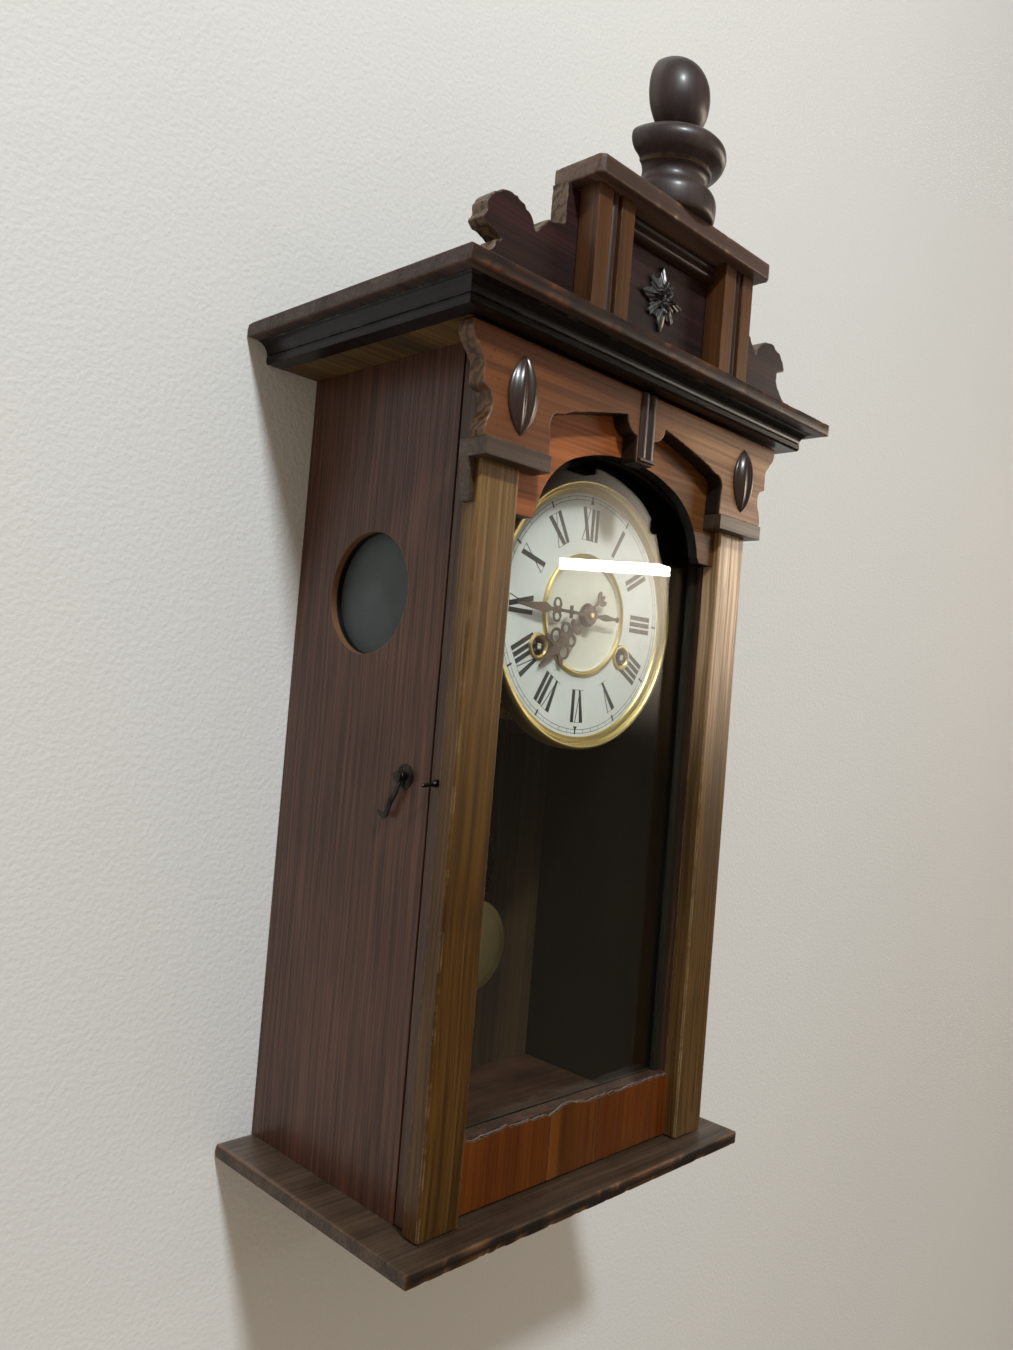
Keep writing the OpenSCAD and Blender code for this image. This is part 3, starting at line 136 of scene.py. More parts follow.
both = add(t, "MixShader", {0: either, 1: paint.outputs[0], 2: clear.outputs[0]})
add(t, "OutputMaterial", {"Surface": both.outputs[0]})
wall.data.materials.append(wall_paint)


# Lamps. A short row of ceiling tubes at the upper left gives the main light and the shadows on
# the wall, one more tube shows as a streak in the door's glass, and a weak fill lights the back.
# The room itself is warm and dim.
def lamp(name, spot, target, wide, high, power, colour=(1, 1, 1)):
    """A soft rectangular lamp at spot, turned so that its face looks at target."""
    light = bpy.data.lights.new(name, "AREA")
    light.shape = "RECTANGLE"
    light.size, light.size_y, light.energy, light.color = wide, high, power, colour
    made = linked(name, light)
    away = np.array(spot, float) - np.array(target, float)
    away /= np.linalg.norm(away)
    level = np.cross((0, 0, 1), away)
    level /= np.linalg.norm(level)
    over = np.cross(away, level)
    rows = [(level[i], over[i], away[i], spot[i]) for i in range(3)]
    made.matrix_world = Matrix(rows + [(0, 0, 0, 1)])
    return made


def vector(tree, operation, *vectors):
    """A vector, or a length or product of vectors, worked out from others."""
    made = add(tree, "VectorMath", dict(enumerate(vectors)), operation=operation)
    single = operation in ("DISTANCE", "DOT_PRODUCT", "LENGTH")
    return made.outputs["Value" if single else "Vector"]


def remap(tree, value, low, high, to_low=0.0, to_high=1.0, smooth=False):
    """A value that goes from to_low to to_high while another goes from low to high."""
    sockets = {"Value": value, "From Min": low, "From Max": high, "To Min": to_low, "To Max": to_high}
    way = "SMOOTHSTEP" if smooth else "LINEAR"
    return add(tree, "MapRange", sockets, interpolation_type=way).outputs[0]


def blend(tree, share, first, second):
    """The colour that lies a share of the way from the first to the second."""
    return add(tree, "Mix", {"Factor": share, "A": first, "B": second},
               data_type="RGBA").outputs["Result"]


lamp("ceiling_tubes", (-0.75, -2.0, 1.85), (0, 0, 0), 0.3, 0.22, 62, (0.9, 0.97, 1))
lamp("streak_tube", (2.51, -2.12, 0.365), (0.03, -0.145, -0.07), 0.5, 0.042, 3, (1, 0.98, 0.92))
lamp("back_fill", (0.5, 2.4, 0.8), (0, 0, 0), 1.6, 1.6, 10)
sky = bpy.data.worlds.new("room")
sky.use_nodes = True
t = sky.node_tree
t.nodes.clear()
# What polished things mirror is the dim room with one bright far wall, low at the right.
heading = add(t, "TexCoord").outputs["Generated"]
part = add(t, "SeparateXYZ", {0: heading})
level = vector(t, "MULTIPLY", heading, (1.0, 1.0, 0.0))
level = vector(t, "NORMALIZE", level)
toward = vector(t, "DOT_PRODUCT", level, (0.951, -0.309, 0.0))
side = remap(t, toward, 0.94, 0.98, smooth=True)
rise = remap(t, part.outputs["Z"], -0.04, 0.12, smooth=True)
fall = remap(t, part.outputs["Z"], 0.26, 0.17, smooth=True)
bright = calc(t, "MULTIPLY", rise, fall)
bright = calc(t, "MULTIPLY", bright, side)
# A glow lies round the tube that the door's glass mirrors.
beam = vector(t, "DISTANCE", heading, (0.8, -0.585, 0.128))
glow = remap(t, beam, 0.16, 0.0, 0.0, 0.34, smooth=True)
bright = calc(t, "MAXIMUM", bright, glow)
far_wall = blend(t, bright, (0.068, 0.051, 0.036), (9.0, 7.6, 6.1))
shine = add(t, "LightPath")
dim = blend(t, shine.outputs["Is Glossy Ray"], (0.38, 0.32, 0.25), far_wall)
room = add(t, "Background", {"Color": dim})
add(t, "OutputWorld", {"Surface": room.outputs[0]})
bpy.context.scene.world = sky


# Case sides. Boards 8 mm thick, stained dark reddish brown and rubbed to a satin finish, with
# a round sound hole and a short split near the top.
def wood(name, dark, mid, light, grain=2, streak=52.0, spread=1.0, gloss=0.42, coat=0.1,
         worn=(0.2, 0.1, 0.045), wear=0.5, radius=0.0008, cut=None, sawn=None, sawn_from=0.0,
         dust=0.0, speck=0.0, pore=0.8, shift=0.0, crack=None, bore=None, shine=0.35,
         soil=(0.12, 0.09, 0.065), painted_light_ramp=None, brow=1.0, painted_inner_shade=None):
    """Stained wood. The pattern's place is squeezed along the grain, so that noise draws out into
    streaks; a slow noise adds paler and darker parts and a very fine one the pores. The tone runs
    through dark, mid and light. An edge is where a rounded normal leaves the face's own, and it
    shows the colour worn in patches, as do places marked in the mesh."""
    made, t = fresh(name)
    squeeze = [1.0, 1.0, 1.0]
    squeeze[grain] = 0.028
    fine = [1.0, 1.0, 1.0]
    fine[grain] = 0.012
    at = add(t, "TexCoord").outputs["Object"]
    bent = add(t, "TexNoise", {"Vector": at, "Scale": 7.0, "Detail": 2.0})
    lean = vector(t, "MULTIPLY", bent.outputs["Color"], (0.006, 0.006, 0.006))
    moved = vector(t, "ADD", at, lean)
    long_way = add(t, "Mapping", {"Vector": moved, "Location": (shift, shift * 1.7, shift * 0.6),
                                  "Scale": tuple(squeeze)})
    short_way = add(t, "Mapping", {"Vector": moved, "Scale": tuple(fine)})
    streaks = add(t, "TexNoise", {"Vector": long_way.outputs[0], "Scale": streak, "Detail": 9.0,
                                  "Roughness": 0.62, "Distortion": 0.25})
    pores = noise(t, short_way.outputs[0], 520.0, 4.0)
    patch = noise(t, at, 9.0, 4.0, 0.6)
    a = remap(t, streaks.outputs["Fac"], 0.32, 0.68)
    b = remap(t, pores, 0.3, 0.7, -pore / 2, pore / 2)
    c = remap(t, patch, 0.3, 0.7, -0.25, 0.25)
    ab = calc(t, "ADD", a, b)
    abc = calc(t, "ADD", ab, c)
    level = remap(t, abc, 0.5 - 0.6 * spread, 0.5 + 0.6 * spread)
    colour = ramp(t, level, dark, light, mid)
    flat = add(t, "NewGeometry")
    eased = add(t, "Bevel", {"Radius": radius}, samples=4)
    if speck:
        dots = add(t, "TexVoronoi", {"Vector": at, "Scale": 210.0})
        spot = remap(t, dots.outputs["Distance"], 0.22, 0.1)
        some = remap(t, patch, 0.46, 0.56)
        drop = calc(t, "MULTIPLY", spot, some)
        drop = calc(t, "MULTIPLY", drop, speck)
        colour = blend(t, drop, colour, (0.02, 0.014, 0.01))
    if painted_light_ramp:
        # Painted light along an axis, between two places, by a gain: a painted glare where the gain is
        # above one, painted shade where it is below.
        run = add(t, "SeparateXYZ", {0: at})
        painted_light_share = remap(t, run.outputs[painted_light_ramp[0]], painted_light_ramp[1], painted_light_ramp[2], smooth=True)
        painted_light_gain = blend(t, painted_light_share, (1, 1, 1), painted_light_ramp[3:])
        colour = vector(t, "MULTIPLY", colour, painted_light_gain)
    if brow < 1:
        # The front face is darker than the others.
        ahead = add(t, "SeparateXYZ", {0: flat.outputs["Normal"]})
        dim = remap(t, ahead.outputs["Y"], -0.9, -0.5, brow)
        colour = blend(t, dim, (0, 0, 0), colour)
    if cut:
        # Saw-cut edges: stained dark, or far enough from the middle bare with coarse end grain.
        facing = add(t, "SeparateXYZ", {0: flat.outputs["Normal"]})
        front = calc(t, "ABSOLUTE", facing.outputs["Y"])
        across = remap(t, front, 0.75, 0.45)
        stripes = add(t, "TexWave", {"Vector": at, "Scale": 70.0, "Distortion": 7.0, "Detail": 3.0,
                                     "Detail Scale": 2.5}, bands_direction="DIAGONAL")
        sawn = sawn or cut
        raw = ramp(t, stripes.outputs["Fac"], (sawn[0] * 0.3, sawn[1] * 0.28, sawn[2] * 0.25), sawn)
        spread_out = add(t, "SeparateXYZ", {0: at})
        far = calc(t, "ABSOLUTE", spread_out.outputs["X"])
        outer = remap(t, far, sawn_from - 0.001, sawn_from + 0.001)
        sides = blend(t, outer, cut, raw)
        colour = blend(t, across, colour, sides)
    turn = vector(t, "DOT_PRODUCT", eased.outputs[0], flat.outputs["Normal"])
    edge = remap(t, turn, 0.995, 0.9)
    rub = noise(t, at, 95.0, 4.0, 0.65)
    rubbed = remap(t, rub, 0.62 - 0.3 * wear, 0.8 - 0.3 * wear)
    bare = calc(t, "MULTIPLY", edge, rubbed)
    marked = add(t, "Attribute", attribute_name="wear")
    bare = calc(t, "ADD", bare, marked.outputs["Fac"], use_clamp=True)
    bare = calc(t, "MULTIPLY", bare, min(1.0, 0.45 + 0.55 * wear))
    colour = blend(t, bare, colour, worn)
    if painted_inner_shade:
        # The inner face, painted darker: painted shade inside the case.
        painted_shade_inside = add(t, "SeparateXYZ", {0: at})
        painted_shade_inside = calc(t, "ABSOLUTE", painted_shade_inside.outputs["X"])
        painted_shade_inside = calc(t, "LESS_THAN", painted_shade_inside, painted_inner_shade[0])
        colour = blend(t, painted_shade_inside, colour, painted_inner_shade[1:])
    if bore:
        # Inside a round hole: bare wood near the face and black paint behind.
        arm = vector(t, "SUBTRACT", at, bore[:3])
        arm = vector(t, "MULTIPLY", arm, (0.0, 1.0, 1.0))
        reach = vector(t, "LENGTH", arm)
        within = calc(t, "LESS_THAN", reach, bore[3])
        deep = add(t, "SeparateXYZ", {0: at})
        deep = calc(t, "ABSOLUTE", deep.outputs["X"])
        band = remap(t, deep, bore[4] - 0.0006, bore[4] + 0.0006)
        rim = blend(t, band, (0.004, 0.003, 0.003), (0.17, 0.085, 0.04))
        colour = blend(t, within, colour, rim)
    if crack:
        # A split: a thin dark line along the grain that wanders, between two heights.
        where = add(t, "SeparateXYZ", {0: moved})
        off = calc(t, "ADD", where.outputs["Y"], -crack[0])
        off = calc(t, "ABSOLUTE", off)
        line = remap(t, off, 0.0006, 0.0002)
        tall = remap(t, where.outputs["Z"], crack[1], crack[2])
        split = calc(t, "MULTIPLY", line, tall)
        colour = blend(t, split, colour, (0.004, 0.003, 0.003))
    rough = remap(t, abc, 0.0, 1.0, gloss + 0.07, gloss - 0.05)
    if dust:
        # Dust lies on what looks up, thicker in soft patches.
        facing = add(t, "SeparateXYZ", {0: flat.outputs["Normal"]})
        lie = remap(t, facing.outputs["Z"], 0.7, 0.95)
        drift = noise(t, at, 34.0, 7.0, 0.7)
        heap = remap(t, drift, 0.42, 0.68, 0.0, dust)
        film = calc(t, "MULTIPLY", lie, heap)
        colour = blend(t, film, colour, soil)
    height = calc(t, "ADD", streaks.outputs["Fac"], pores)
    relief = add(t, "Bump", {"Height": height, "Strength": 0.22, "Distance": 0.0004,
                             "Normal": eased.outputs[0]})
    body = add(t, "BsdfPrincipled", {"Base Color": colour, "Roughness": rough,
                                     "Normal": relief.outputs["Normal"], "Specular IOR Level": shine,
                                     "Coat Weight": coat, "Coat Roughness": 0.22})
    add(t, "OutputMaterial", {"Surface": body.outputs[0]})
    return made


def dress(finish, *nodes):
    """Gives solid pieces of the frame their finish."""
    for name in nodes:
        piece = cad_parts[name]
        piece.data.materials.clear()
        piece.data.materials.append(finish)


# Their inner faces are painted near black: painted shade inside the case.
side_stain = wood("side_stain", (0.042, 0.016, 0.0087), (0.072, 0.029, 0.017), (0.11, 0.046, 0.027),
                  streak=420.0, gloss=0.36, coat=0.1, worn=(0.16, 0.06, 0.025), wear=0.2,
                  crack=(-0.0935, -0.085, -0.045), bore=(0.0, -0.072, -0.11, 0.0367, 0.1202),
                  shine=0.33, painted_inner_shade=(0.1166, 0.011, 0.009, 0.006), spread=1.15, pore=1.5)
dress(side_stain, "side_panel_left", "side_panel_right")


# Back board, floor board and the rails that carry the movement. Plain boards, darker where
# the stain was left to pool, with dust on what looks up.
inner_stain = wood("inner_stain", (0.011, 0.0063, 0.0025), (0.025, 0.014, 0.0058),
                   (0.048, 0.028, 0.011), gloss=0.6, coat=0.0, wear=0.1)
floor_stain = wood("floor_stain", (0.013, 0.0043, 0.0017), (0.03, 0.01, 0.0042),
                   (0.064, 0.022, 0.0088), grain=0, streak=30.0, gloss=0.5, coat=0.05, wear=0.1,
                   dust=0.4, soil=(0.1, 0.058, 0.03))
dress(inner_stain, "back_board", "movement_cleats")
dress(floor_stain, "floor_board")


# Base board. A plain board that stands out on three sides, stained dark, its edges knocked
# down to orange wood and its top grey with dust.
hanging_hole_z = 452.0


def point(x, d, z):
    """A place in the case maker's millimetres, as the scene's metres."""
    z = np.asarray(z, float) - hanging_hole_z
    return np.stack(np.broadcast_arrays(x, -np.asarray(d, float), z), -1) / 1000.0


def placed(spots):
    """An array of places in millimetres, as the scene's metres."""
    return point(spots[..., 0], spots[..., 1], spots[..., 2])


def face_outwards(mesh, near=None):
    """Turns every face outwards, after points that lie closer than near are merged."""
    shell = bmesh.new()
    shell.from_mesh(mesh)
    if near:
        bmesh.ops.remove_doubles(shell, verts=shell.verts, dist=near)
    bmesh.ops.recalc_face_normals(shell, faces=shell.faces)
    shell.to_mesh(mesh)
    shell.free()


def ripple(spots, size, seed):
    """Smooth noise: the sum of 28 sine waves in random directions, with wavelengths near size."""
    dice = np.random.default_rng(seed)
    way = dice.normal(size=(28, 3))
    way /= np.linalg.norm(way, axis=1, keepdims=True)
    way *= 2 * pi / (size * dice.uniform(0.6, 1.7, (28, 1)))
    return np.sin(spots @ way.T + dice.uniform(0, 2 * pi, 28)).sum(-1) / sqrt(28 / 2)


def skin(name, rings, finish, sharp=40, wear=None, closed=True):
    """A surface through rings of points: neighbours are joined by quads. The first and the last
    ring are each closed by one face, or joined to each other if closed is off."""
    rings = np.asarray(rings, float)
    count, size = rings.shape[:2]
    i, j = np.meshgrid(np.arange(count - 1 if closed else count), np.arange(size), indexing="ij")
    k, n = (j + 1) % size, (i + 1) % count
    faces = np.stack([i * size + j, i * size + k, n * size + k, n * size + j],
                     -1).reshape(-1, 4).tolist()
    if closed:
        faces += [list(range(size)), list(range((count - 1) * size, count * size))]
    mesh = bpy.data.meshes.new(name)
    mesh.from_pydata(rings.reshape(-1, 3).tolist(), [], faces)
    if wear is not None:
        mark = mesh.attributes.new("rubbed", "FLOAT", "POINT")
        mark.data.foreach_set("value", np.asarray(wear, np.float32).ravel())
    face_outwards(mesh, 1e-7)
    mesh.shade_smooth()
    mesh.set_sharp_from_angle(angle=radians(sharp))
    sides = np.empty(len(mesh.polygons), np.int32)
    mesh.polygons.foreach_get("loop_total", sides)
    mesh.polygons.foreach_set("use_smooth", sides < 5)
    if wear is not None:
        # The end faces stay unmarked, or the wear would smear across them.
        marks = np.empty(len(mesh.vertices), np.float32)
        mesh.attributes["rubbed"].data.foreach_get("value", marks)
        owner = np.empty(len(mesh.loops), np.int32)
        mesh.loops.foreach_get("vertex_index", owner)
        mesh.attributes.remove(mesh.attributes["rubbed"])
        mark = mesh.attributes.new("wear", "FLOAT", "CORNER")
        mark.data.foreach_set("value", marks[owner] * np.repeat(sides < 5, sides))
    mesh.materials.append(finish)
    return linked(name, mesh)


def worn_board(name, finish, x, d, z, ease=1.0, chips=0.8, seed=1, step=2.5):
    """A board along X. Its section is a rectangle with round corners of radius ease, carried
    along the length and drawn in at both ends by the same curve. Near an edge, where noise is
    high, points sink towards the board's middle and are marked as worn."""
    mid = np.array([(x[0] + x[1]) / 2, (d[0] + d[1]) / 2, (z[0] + z[1]) / 2])
    half = np.array([x[1] - x[0], d[1] - d[0], z[1] - z[0]]) / 2
    bend = np.linspace(0, pi / 2, 5)
    run = np.linspace(-half[0] + ease, half[0] - ease, max(3, int(2 * half[0] / step)))
    end = ease * (1 - np.cos(bend))
    place = np.concatenate([-half[0] + end[:-1], run, (half[0] - end)[::-1][1:]])
    draw = ease * (1 - np.sin(bend))
    inset = np.concatenate([draw[:-1], 0 * run, draw[::-1][1:]])
    turns = np.concatenate([q * pi / 2 + bend for q in range(4)])
    quadrant = np.repeat(np.arange(4), 5)
    side_d = np.where(np.isin(quadrant, (0, 3)), 1, -1)
    side_z = np.where(quadrant < 2, 1, -1)
    rows = np.stack([side_d * (half[1] - ease) + ease * np.cos(turns),
                     side_z * (half[2] - ease) + ease * np.sin(turns)], -1)
    # Points along the wide faces, so that dents near the edges don't stretch over the board.
    ring = []
    for q in range(4):
        ring.append(rows[q * 5:q * 5 + 5])
        a, b = rows[q * 5 + 4], rows[(q * 5 + 5) % 20]
        gap = np.linalg.norm(b - a)
        share = (1.5 / gap, 4 / gap, 1 - 4 / gap, 1 - 1.5 / gap) if gap > 12 else (0.5,)
        ring.append(a + (b - a) * np.array(share)[:, None])
    ring = np.concatenate(ring)
    sign = np.sign(ring)
    grid = np.empty((len(place), len(ring), 3))
    grid[..., 0] = place[:, None]
    grid[..., 1:] = ring - sign * inset[:, None, None]
    off = half - np.abs(grid)
    off.sort(axis=-1)
    near = np.exp(-(np.hypot(off[..., 0], off[..., 1]) / (1.6 * ease)) ** 2)
    bite = np.clip(ripple(grid, 13, seed) * 0.6 + ripple(grid, 4.5, seed + 1) * 0.5 - 0.55, 0, 1.4)
    grid -= np.sign(grid) * (near * (0.15 + chips * bite))[..., None]
    mark = np.clip(near * (0.25 + 1.3 * bite + 0.3 * ripple(grid, 30, seed + 2)), 0, 1)
    return skin(name, placed(grid + mid), finish, wear=mark)


base_stain = wood("base_stain", (0.024, 0.014, 0.0076), (0.05, 0.029, 0.016), (0.09, 0.054, 0.031),
                  grain=0, streak=60.0, gloss=0.46, coat=0.1, worn=(0.24, 0.105, 0.04), wear=0.42,
                  dust=0.25, brow=0.25)
base = worn_board("base", base_stain, (-149.9, 149.9), (0.1, 182.2), (-8.3, 0), ease=0.9,
                  chips=0.45, seed=4)
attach(base, "case")
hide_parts("base_board")


# Cornice. A sawn soffit board, a mitred moulding with a dark glossy cove over a worn fillet,
# and a top board that overhangs it, its edges rubbed to red wood.
soffit_wood = wood("soffit_wood", (0.046, 0.026, 0.0076), (0.11, 0.061, 0.018), (0.2, 0.11, 0.032),
                   grain=0, gloss=0.68, coat=0.0, wear=0.1)
dress(soffit_wood, "case_soffit")
cove_lacquer = wood("cove_lacquer", (0.0015, 0.001, 0.001), (0.003, 0.002, 0.002),
                    (0.006, 0.0045, 0.004), grain=0, gloss=0.32, coat=0.25,
                    worn=(0.13, 0.085, 0.06), wear=0.4, radius=0.0009, shine=0.2)
dress(cove_lacquer, "cornice_moulding")
top_stain = wood("top_stain", (0.032, 0.02, 0.018), (0.063, 0.042, 0.037), (0.1, 0.069, 0.062),
                 grain=0, streak=60.0, gloss=0.42, coat=0.06, worn=(0.2, 0.075, 0.03), wear=0.45,
                 dust=0.3, shine=0.25, brow=0.34)
top = worn_board("cornice_top", top_stain, (-177.2, 177.2), (0.1, 198.2), (492.1, 500.6), ease=0.7,
                 chips=0.35, seed=11)
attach(top, "case")
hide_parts("cornice_board")


# Pediment board. One board sawn to a scroll at each end and a square block in the middle. The
# saw-cut edges are chipped and pale, and the tip of the left scroll has broken off.
def arc(cx, cy, r, a0, a1, n):
    """Points on an arc about cx, cy, from angle a0 to a1 in degrees."""
    a = np.radians(np.linspace(a0, a1, n + 1))
    return np.stack([cx + r * np.cos(a), cy + r * np.sin(a)], -1)


def evenly(outline, step):
    """Points at equal steps round a closed outline."""
    loop = np.vstack([outline, outline[:1]])
    along = np.concatenate([[0], np.cumsum(np.linalg.norm(np.diff(loop, axis=0), axis=1))])
    at = np.linspace(0, along[-1], int(along[-1] / step), endpoint=False)
    return np.stack([np.interp(at, along, loop[:, k]) for k in (0, 1)], -1)


def outward(line, reach):
    """The directions square to a closed outline, away from it, each judged over the points that
    lie reach steps to both sides."""
    along = np.roll(line, -reach, 0) - np.roll(line, reach, 0)
    along /= np.linalg.norm(along, axis=1, keepdims=True)
    out = np.stack([along[:, 1], -along[:, 0]], -1)
    x, y = line[:, 0], line[:, 1]
    return out * np.sign(np.sum(x * np.roll(y, -1) - np.roll(x, -1) * y))


def cut_board(name, finish, outline, d0, d1, ease=0.9, chips=0.7, seed=1, step=1.3, sunk=0.0):
    """A board sawn to an outline: the outline is carried through the thickness, drawn in a little
    at the back and by a quarter round at the front. Noise nibbles the front edge and, by up to
    sunk, the whole of the cut."""
    line = evenly(outline, step)
    out = outward(line, 1)
    bend = np.linspace(0, pi / 2, 5)
    depth = np.concatenate([[d0], [d0 + 0.5], np.linspace(d0 + 3, d1 - ease - 1, 5),
                            d1 - ease * (1 - np.sin(bend))])
    inset = np.concatenate([[0.5], [0.0], np.zeros(5), ease * (1 - np.cos(bend))])
    spots = np.concatenate([line, np.zeros((len(line), 1))], 1)
    bite = np.clip(ripple(spots, 11, seed) * 0.6 + ripple(spots, 4, seed + 1) * 0.5 - 0.5, 0, 1.4)
    close = np.exp(-((d1 - depth) / (2.2 * ease)) ** 2)
    hollow = sunk * np.clip(ripple(spots, 7, seed + 3), 0, 1)
    draw = inset[:, None] + close[:, None] * chips * bite + hollow
    rows = line[None] - out[None] * draw[..., None]
    back = np.broadcast_to(depth[:, None], draw.shape)
    mark = np.clip(close[:, None] * (0.3 + 1.4 * bite[None]), 0, 1)
    mark[0] = 0
    return skin(name, point(rows[..., 0], back, rows[..., 1]), finish, sharp=35, wear=mark)


# Heights are from the cornice's top board.
z = 500.6
shoulder = np.concatenate([[(107, z + 41.5)], arc(101, z + 42.5, 4, 20, 110, 6),
                           [(92, z + 48.6), (90, z + 50), (90, z + 73)]])
whole = np.concatenate([[(157, z), (157, z + 14)], arc(160.5, z + 32, 20, 258, 212, 8),
                        [(140.5, z + 25.5), (140.5, z + 31)],
                        arc(130.5, z + 29, 20.5, 17, 158, 22), shoulder])
broken = np.concatenate([[(157, z), (157, z + 13), (150, z + 13.6)],
                         arc(160.5, z + 30, 21.5, 232, 205, 5),
                         [(136.4, z + 22), (139.5, z + 24.2), (148, z + 26), (151, z + 29),
                          (148.6, z + 33.6)],
                         arc(130.5, z + 29, 20.5, 28, 158, 20), shoulder])
outline = np.concatenate([whole, (broken * (-1, 1))[::-1]])
panel_stain = wood("panel_stain", (0.0088, 0.0036, 0.0035), (0.023, 0.0092, 0.0087),
                   (0.045, 0.017, 0.017), grain=0, streak=40.0, gloss=0.44, coat=0.06,
                   worn=(0.2, 0.14, 0.085), wear=0.4, cut=(0.16, 0.105, 0.06), sawn_from=0.0)
pediment = cut_board("pediment", panel_stain, outline, 163, 174.5, chips=0.9, seed=21, sunk=0.5)
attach(pediment, "case")
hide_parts("pediment_board")


# Pediment blocks. Two short pilasters of golden brown wood with a dark turned bead let into a
# groove in each, and a two-reed rail between them.
block_varnish = wood("block_varnish", (0.056, 0.022, 0.0071), (0.093, 0.037, 0.013),
                     (0.14, 0.056, 0.021), streak=90.0, gloss=0.38, coat=0.15,
                     worn=(0.3, 0.17, 0.08), wear=0.5)
dress(block_varnish, "pediment_blocks")
black_polish = wood("black_polish", (0.017, 0.01, 0.0096), (0.039, 0.023, 0.019),
                    (0.077, 0.044, 0.034), gloss=0.3, coat=0.5, worn=(0.16, 0.085, 0.05), wear=0.35,
                    pore=0.2)
dress(black_polish, "pediment_beads", "frieze_pendant")
reed_polish = wood("reed_polish", (0.014, 0.007, 0.006), (0.036, 0.017, 0.013),
                   (0.07, 0.034, 0.026), grain=0, gloss=0.3, coat=0.4, worn=(0.18, 0.09, 0.05),
                   wear=0.4)
dress(reed_polish, "pediment_rail")


# Rosette. Black cast metal: ribbed leaves round a cluster of beads.
def metal(name, colour, rough=0.3, spots=None, grain=600.0, amount=0.08, relief=0.1, patina=0.25):
    """Metal with slow patches of tarnish and a fine grain in its polish."""
    made, t = fresh(name)
    at = add(t, "TexCoord").outputs["Object"]
    slow = noise(t, at, 48.0, 5.0, 0.6)
    fine = noise(t, at, grain, 3.0)
    stain = remap(t, slow, 0.48, 0.7, 0.0, patina)
    dull = spots or tuple(0.35 * v for v in colour)
    shade = blend(t, stain, colour, dull)
    one = remap(t, fine, 0.3, 0.7, rough - amount, rough + amount)
    two = calc(t, "ADD", one, stain)
    bump = add(t, "Bump", {"Height": fine, "Strength": relief, "Distance": 0.0002})
    body = add(t, "BsdfPrincipled", {"Base Color": shade, "Metallic": 1.0,
                                     "Roughness": two, "Normal": bump.outputs["Normal"]})
    add(t, "OutputMaterial", {"Surface": body.outputs[0]})
    return made


black_cast = metal("black_cast", (0.17, 0.165, 0.155), rough=0.36, spots=(0.05, 0.04, 0.035),
                   patina=0.5)


def rosette_height(r, a):
    """Height of the casting at radius share r and angle a: four long ribbed leaves and four short
    ones rise from a hollow and droop at their tips, and rings of beads crown the middle."""
    long_leaf = np.exp(-((np.mod(a + pi / 4, pi / 2) - pi / 4) / 0.36) ** 2)
    short_leaf = np.exp(-((np.mod(a, pi / 2) - pi / 4) / 0.26) ** 2)
    ribs = 0.55 * np.cos(a * 36) * np.clip(r - 0.25, 0, 1)
    leaf = 3.2 * long_leaf + 2.4 * short_leaf + ribs
    leaf = leaf * np.clip(1.6 - 1.3 * r, 0.25, 1) * np.clip(r * 4, 0, 1)
    beads = 3.0 * np.exp(-(r / 0.13) ** 2) \
        + (1.7 + 1.5 * np.cos(a * 8)) * np.exp(-((r - 0.27) / 0.07) ** 2)
    outer = (0.9 + 0.9 * np.cos(a * 12 + 0.6)) * np.exp(-((r - 0.45) / 0.06) ** 2)
    return 1.0 + leaf + beads + outer


a = np.linspace(0, 2 * pi, 288, endpoint=False)
tips = 0.6 + 0.4 * np.exp(-((np.mod(a + pi / 4, pi / 2) - pi / 4) / 0.2) ** 2) \
    + 0.24 * np.exp(-((np.mod(a, pi / 2) - pi / 4) / 0.2) ** 2) + 0.03 * np.cos(a * 36)
r = np.linspace(0.004, 1, 60)[:, None]
reach = 20.0 * tips[None] * r / tips.max()
high = 174.55 + np.minimum(rosette_height(r, a[None]), 7.9)
rim = np.array([[20.0 * v / tips.max() for v in tips]])
reach = np.concatenate([reach, rim, rim * 0.02])
high = np.concatenate([high, np.full((2, len(a)), 174.52)])
rosette = skin("rosette", point(reach * np.sin(a), high, 536.8 + reach * np.cos(a)), black_cast,
               sharp=60)
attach(rosette, "case")
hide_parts("pediment_rosette")


# Pediment cap. A thick little shelf over the blocks, blunt at its front corners, with splinters
# gone from its edges.
cap_outline = np.array([(-87.4, 162), (-87.4, 194), (-84.5, 196.9), (84.5, 196.9), (87.4, 194),
                        (87.4, 162)])
cap_stain = wood("cap_stain", (0.076, 0.044, 0.033), (0.13, 0.078, 0.06), (0.19, 0.11, 0.092),
                 grain=0, streak=55.0, gloss=0.4, coat=0.1, worn=(0.24, 0.15, 0.09), wear=0.5,
                 dust=0.3, brow=0.6)


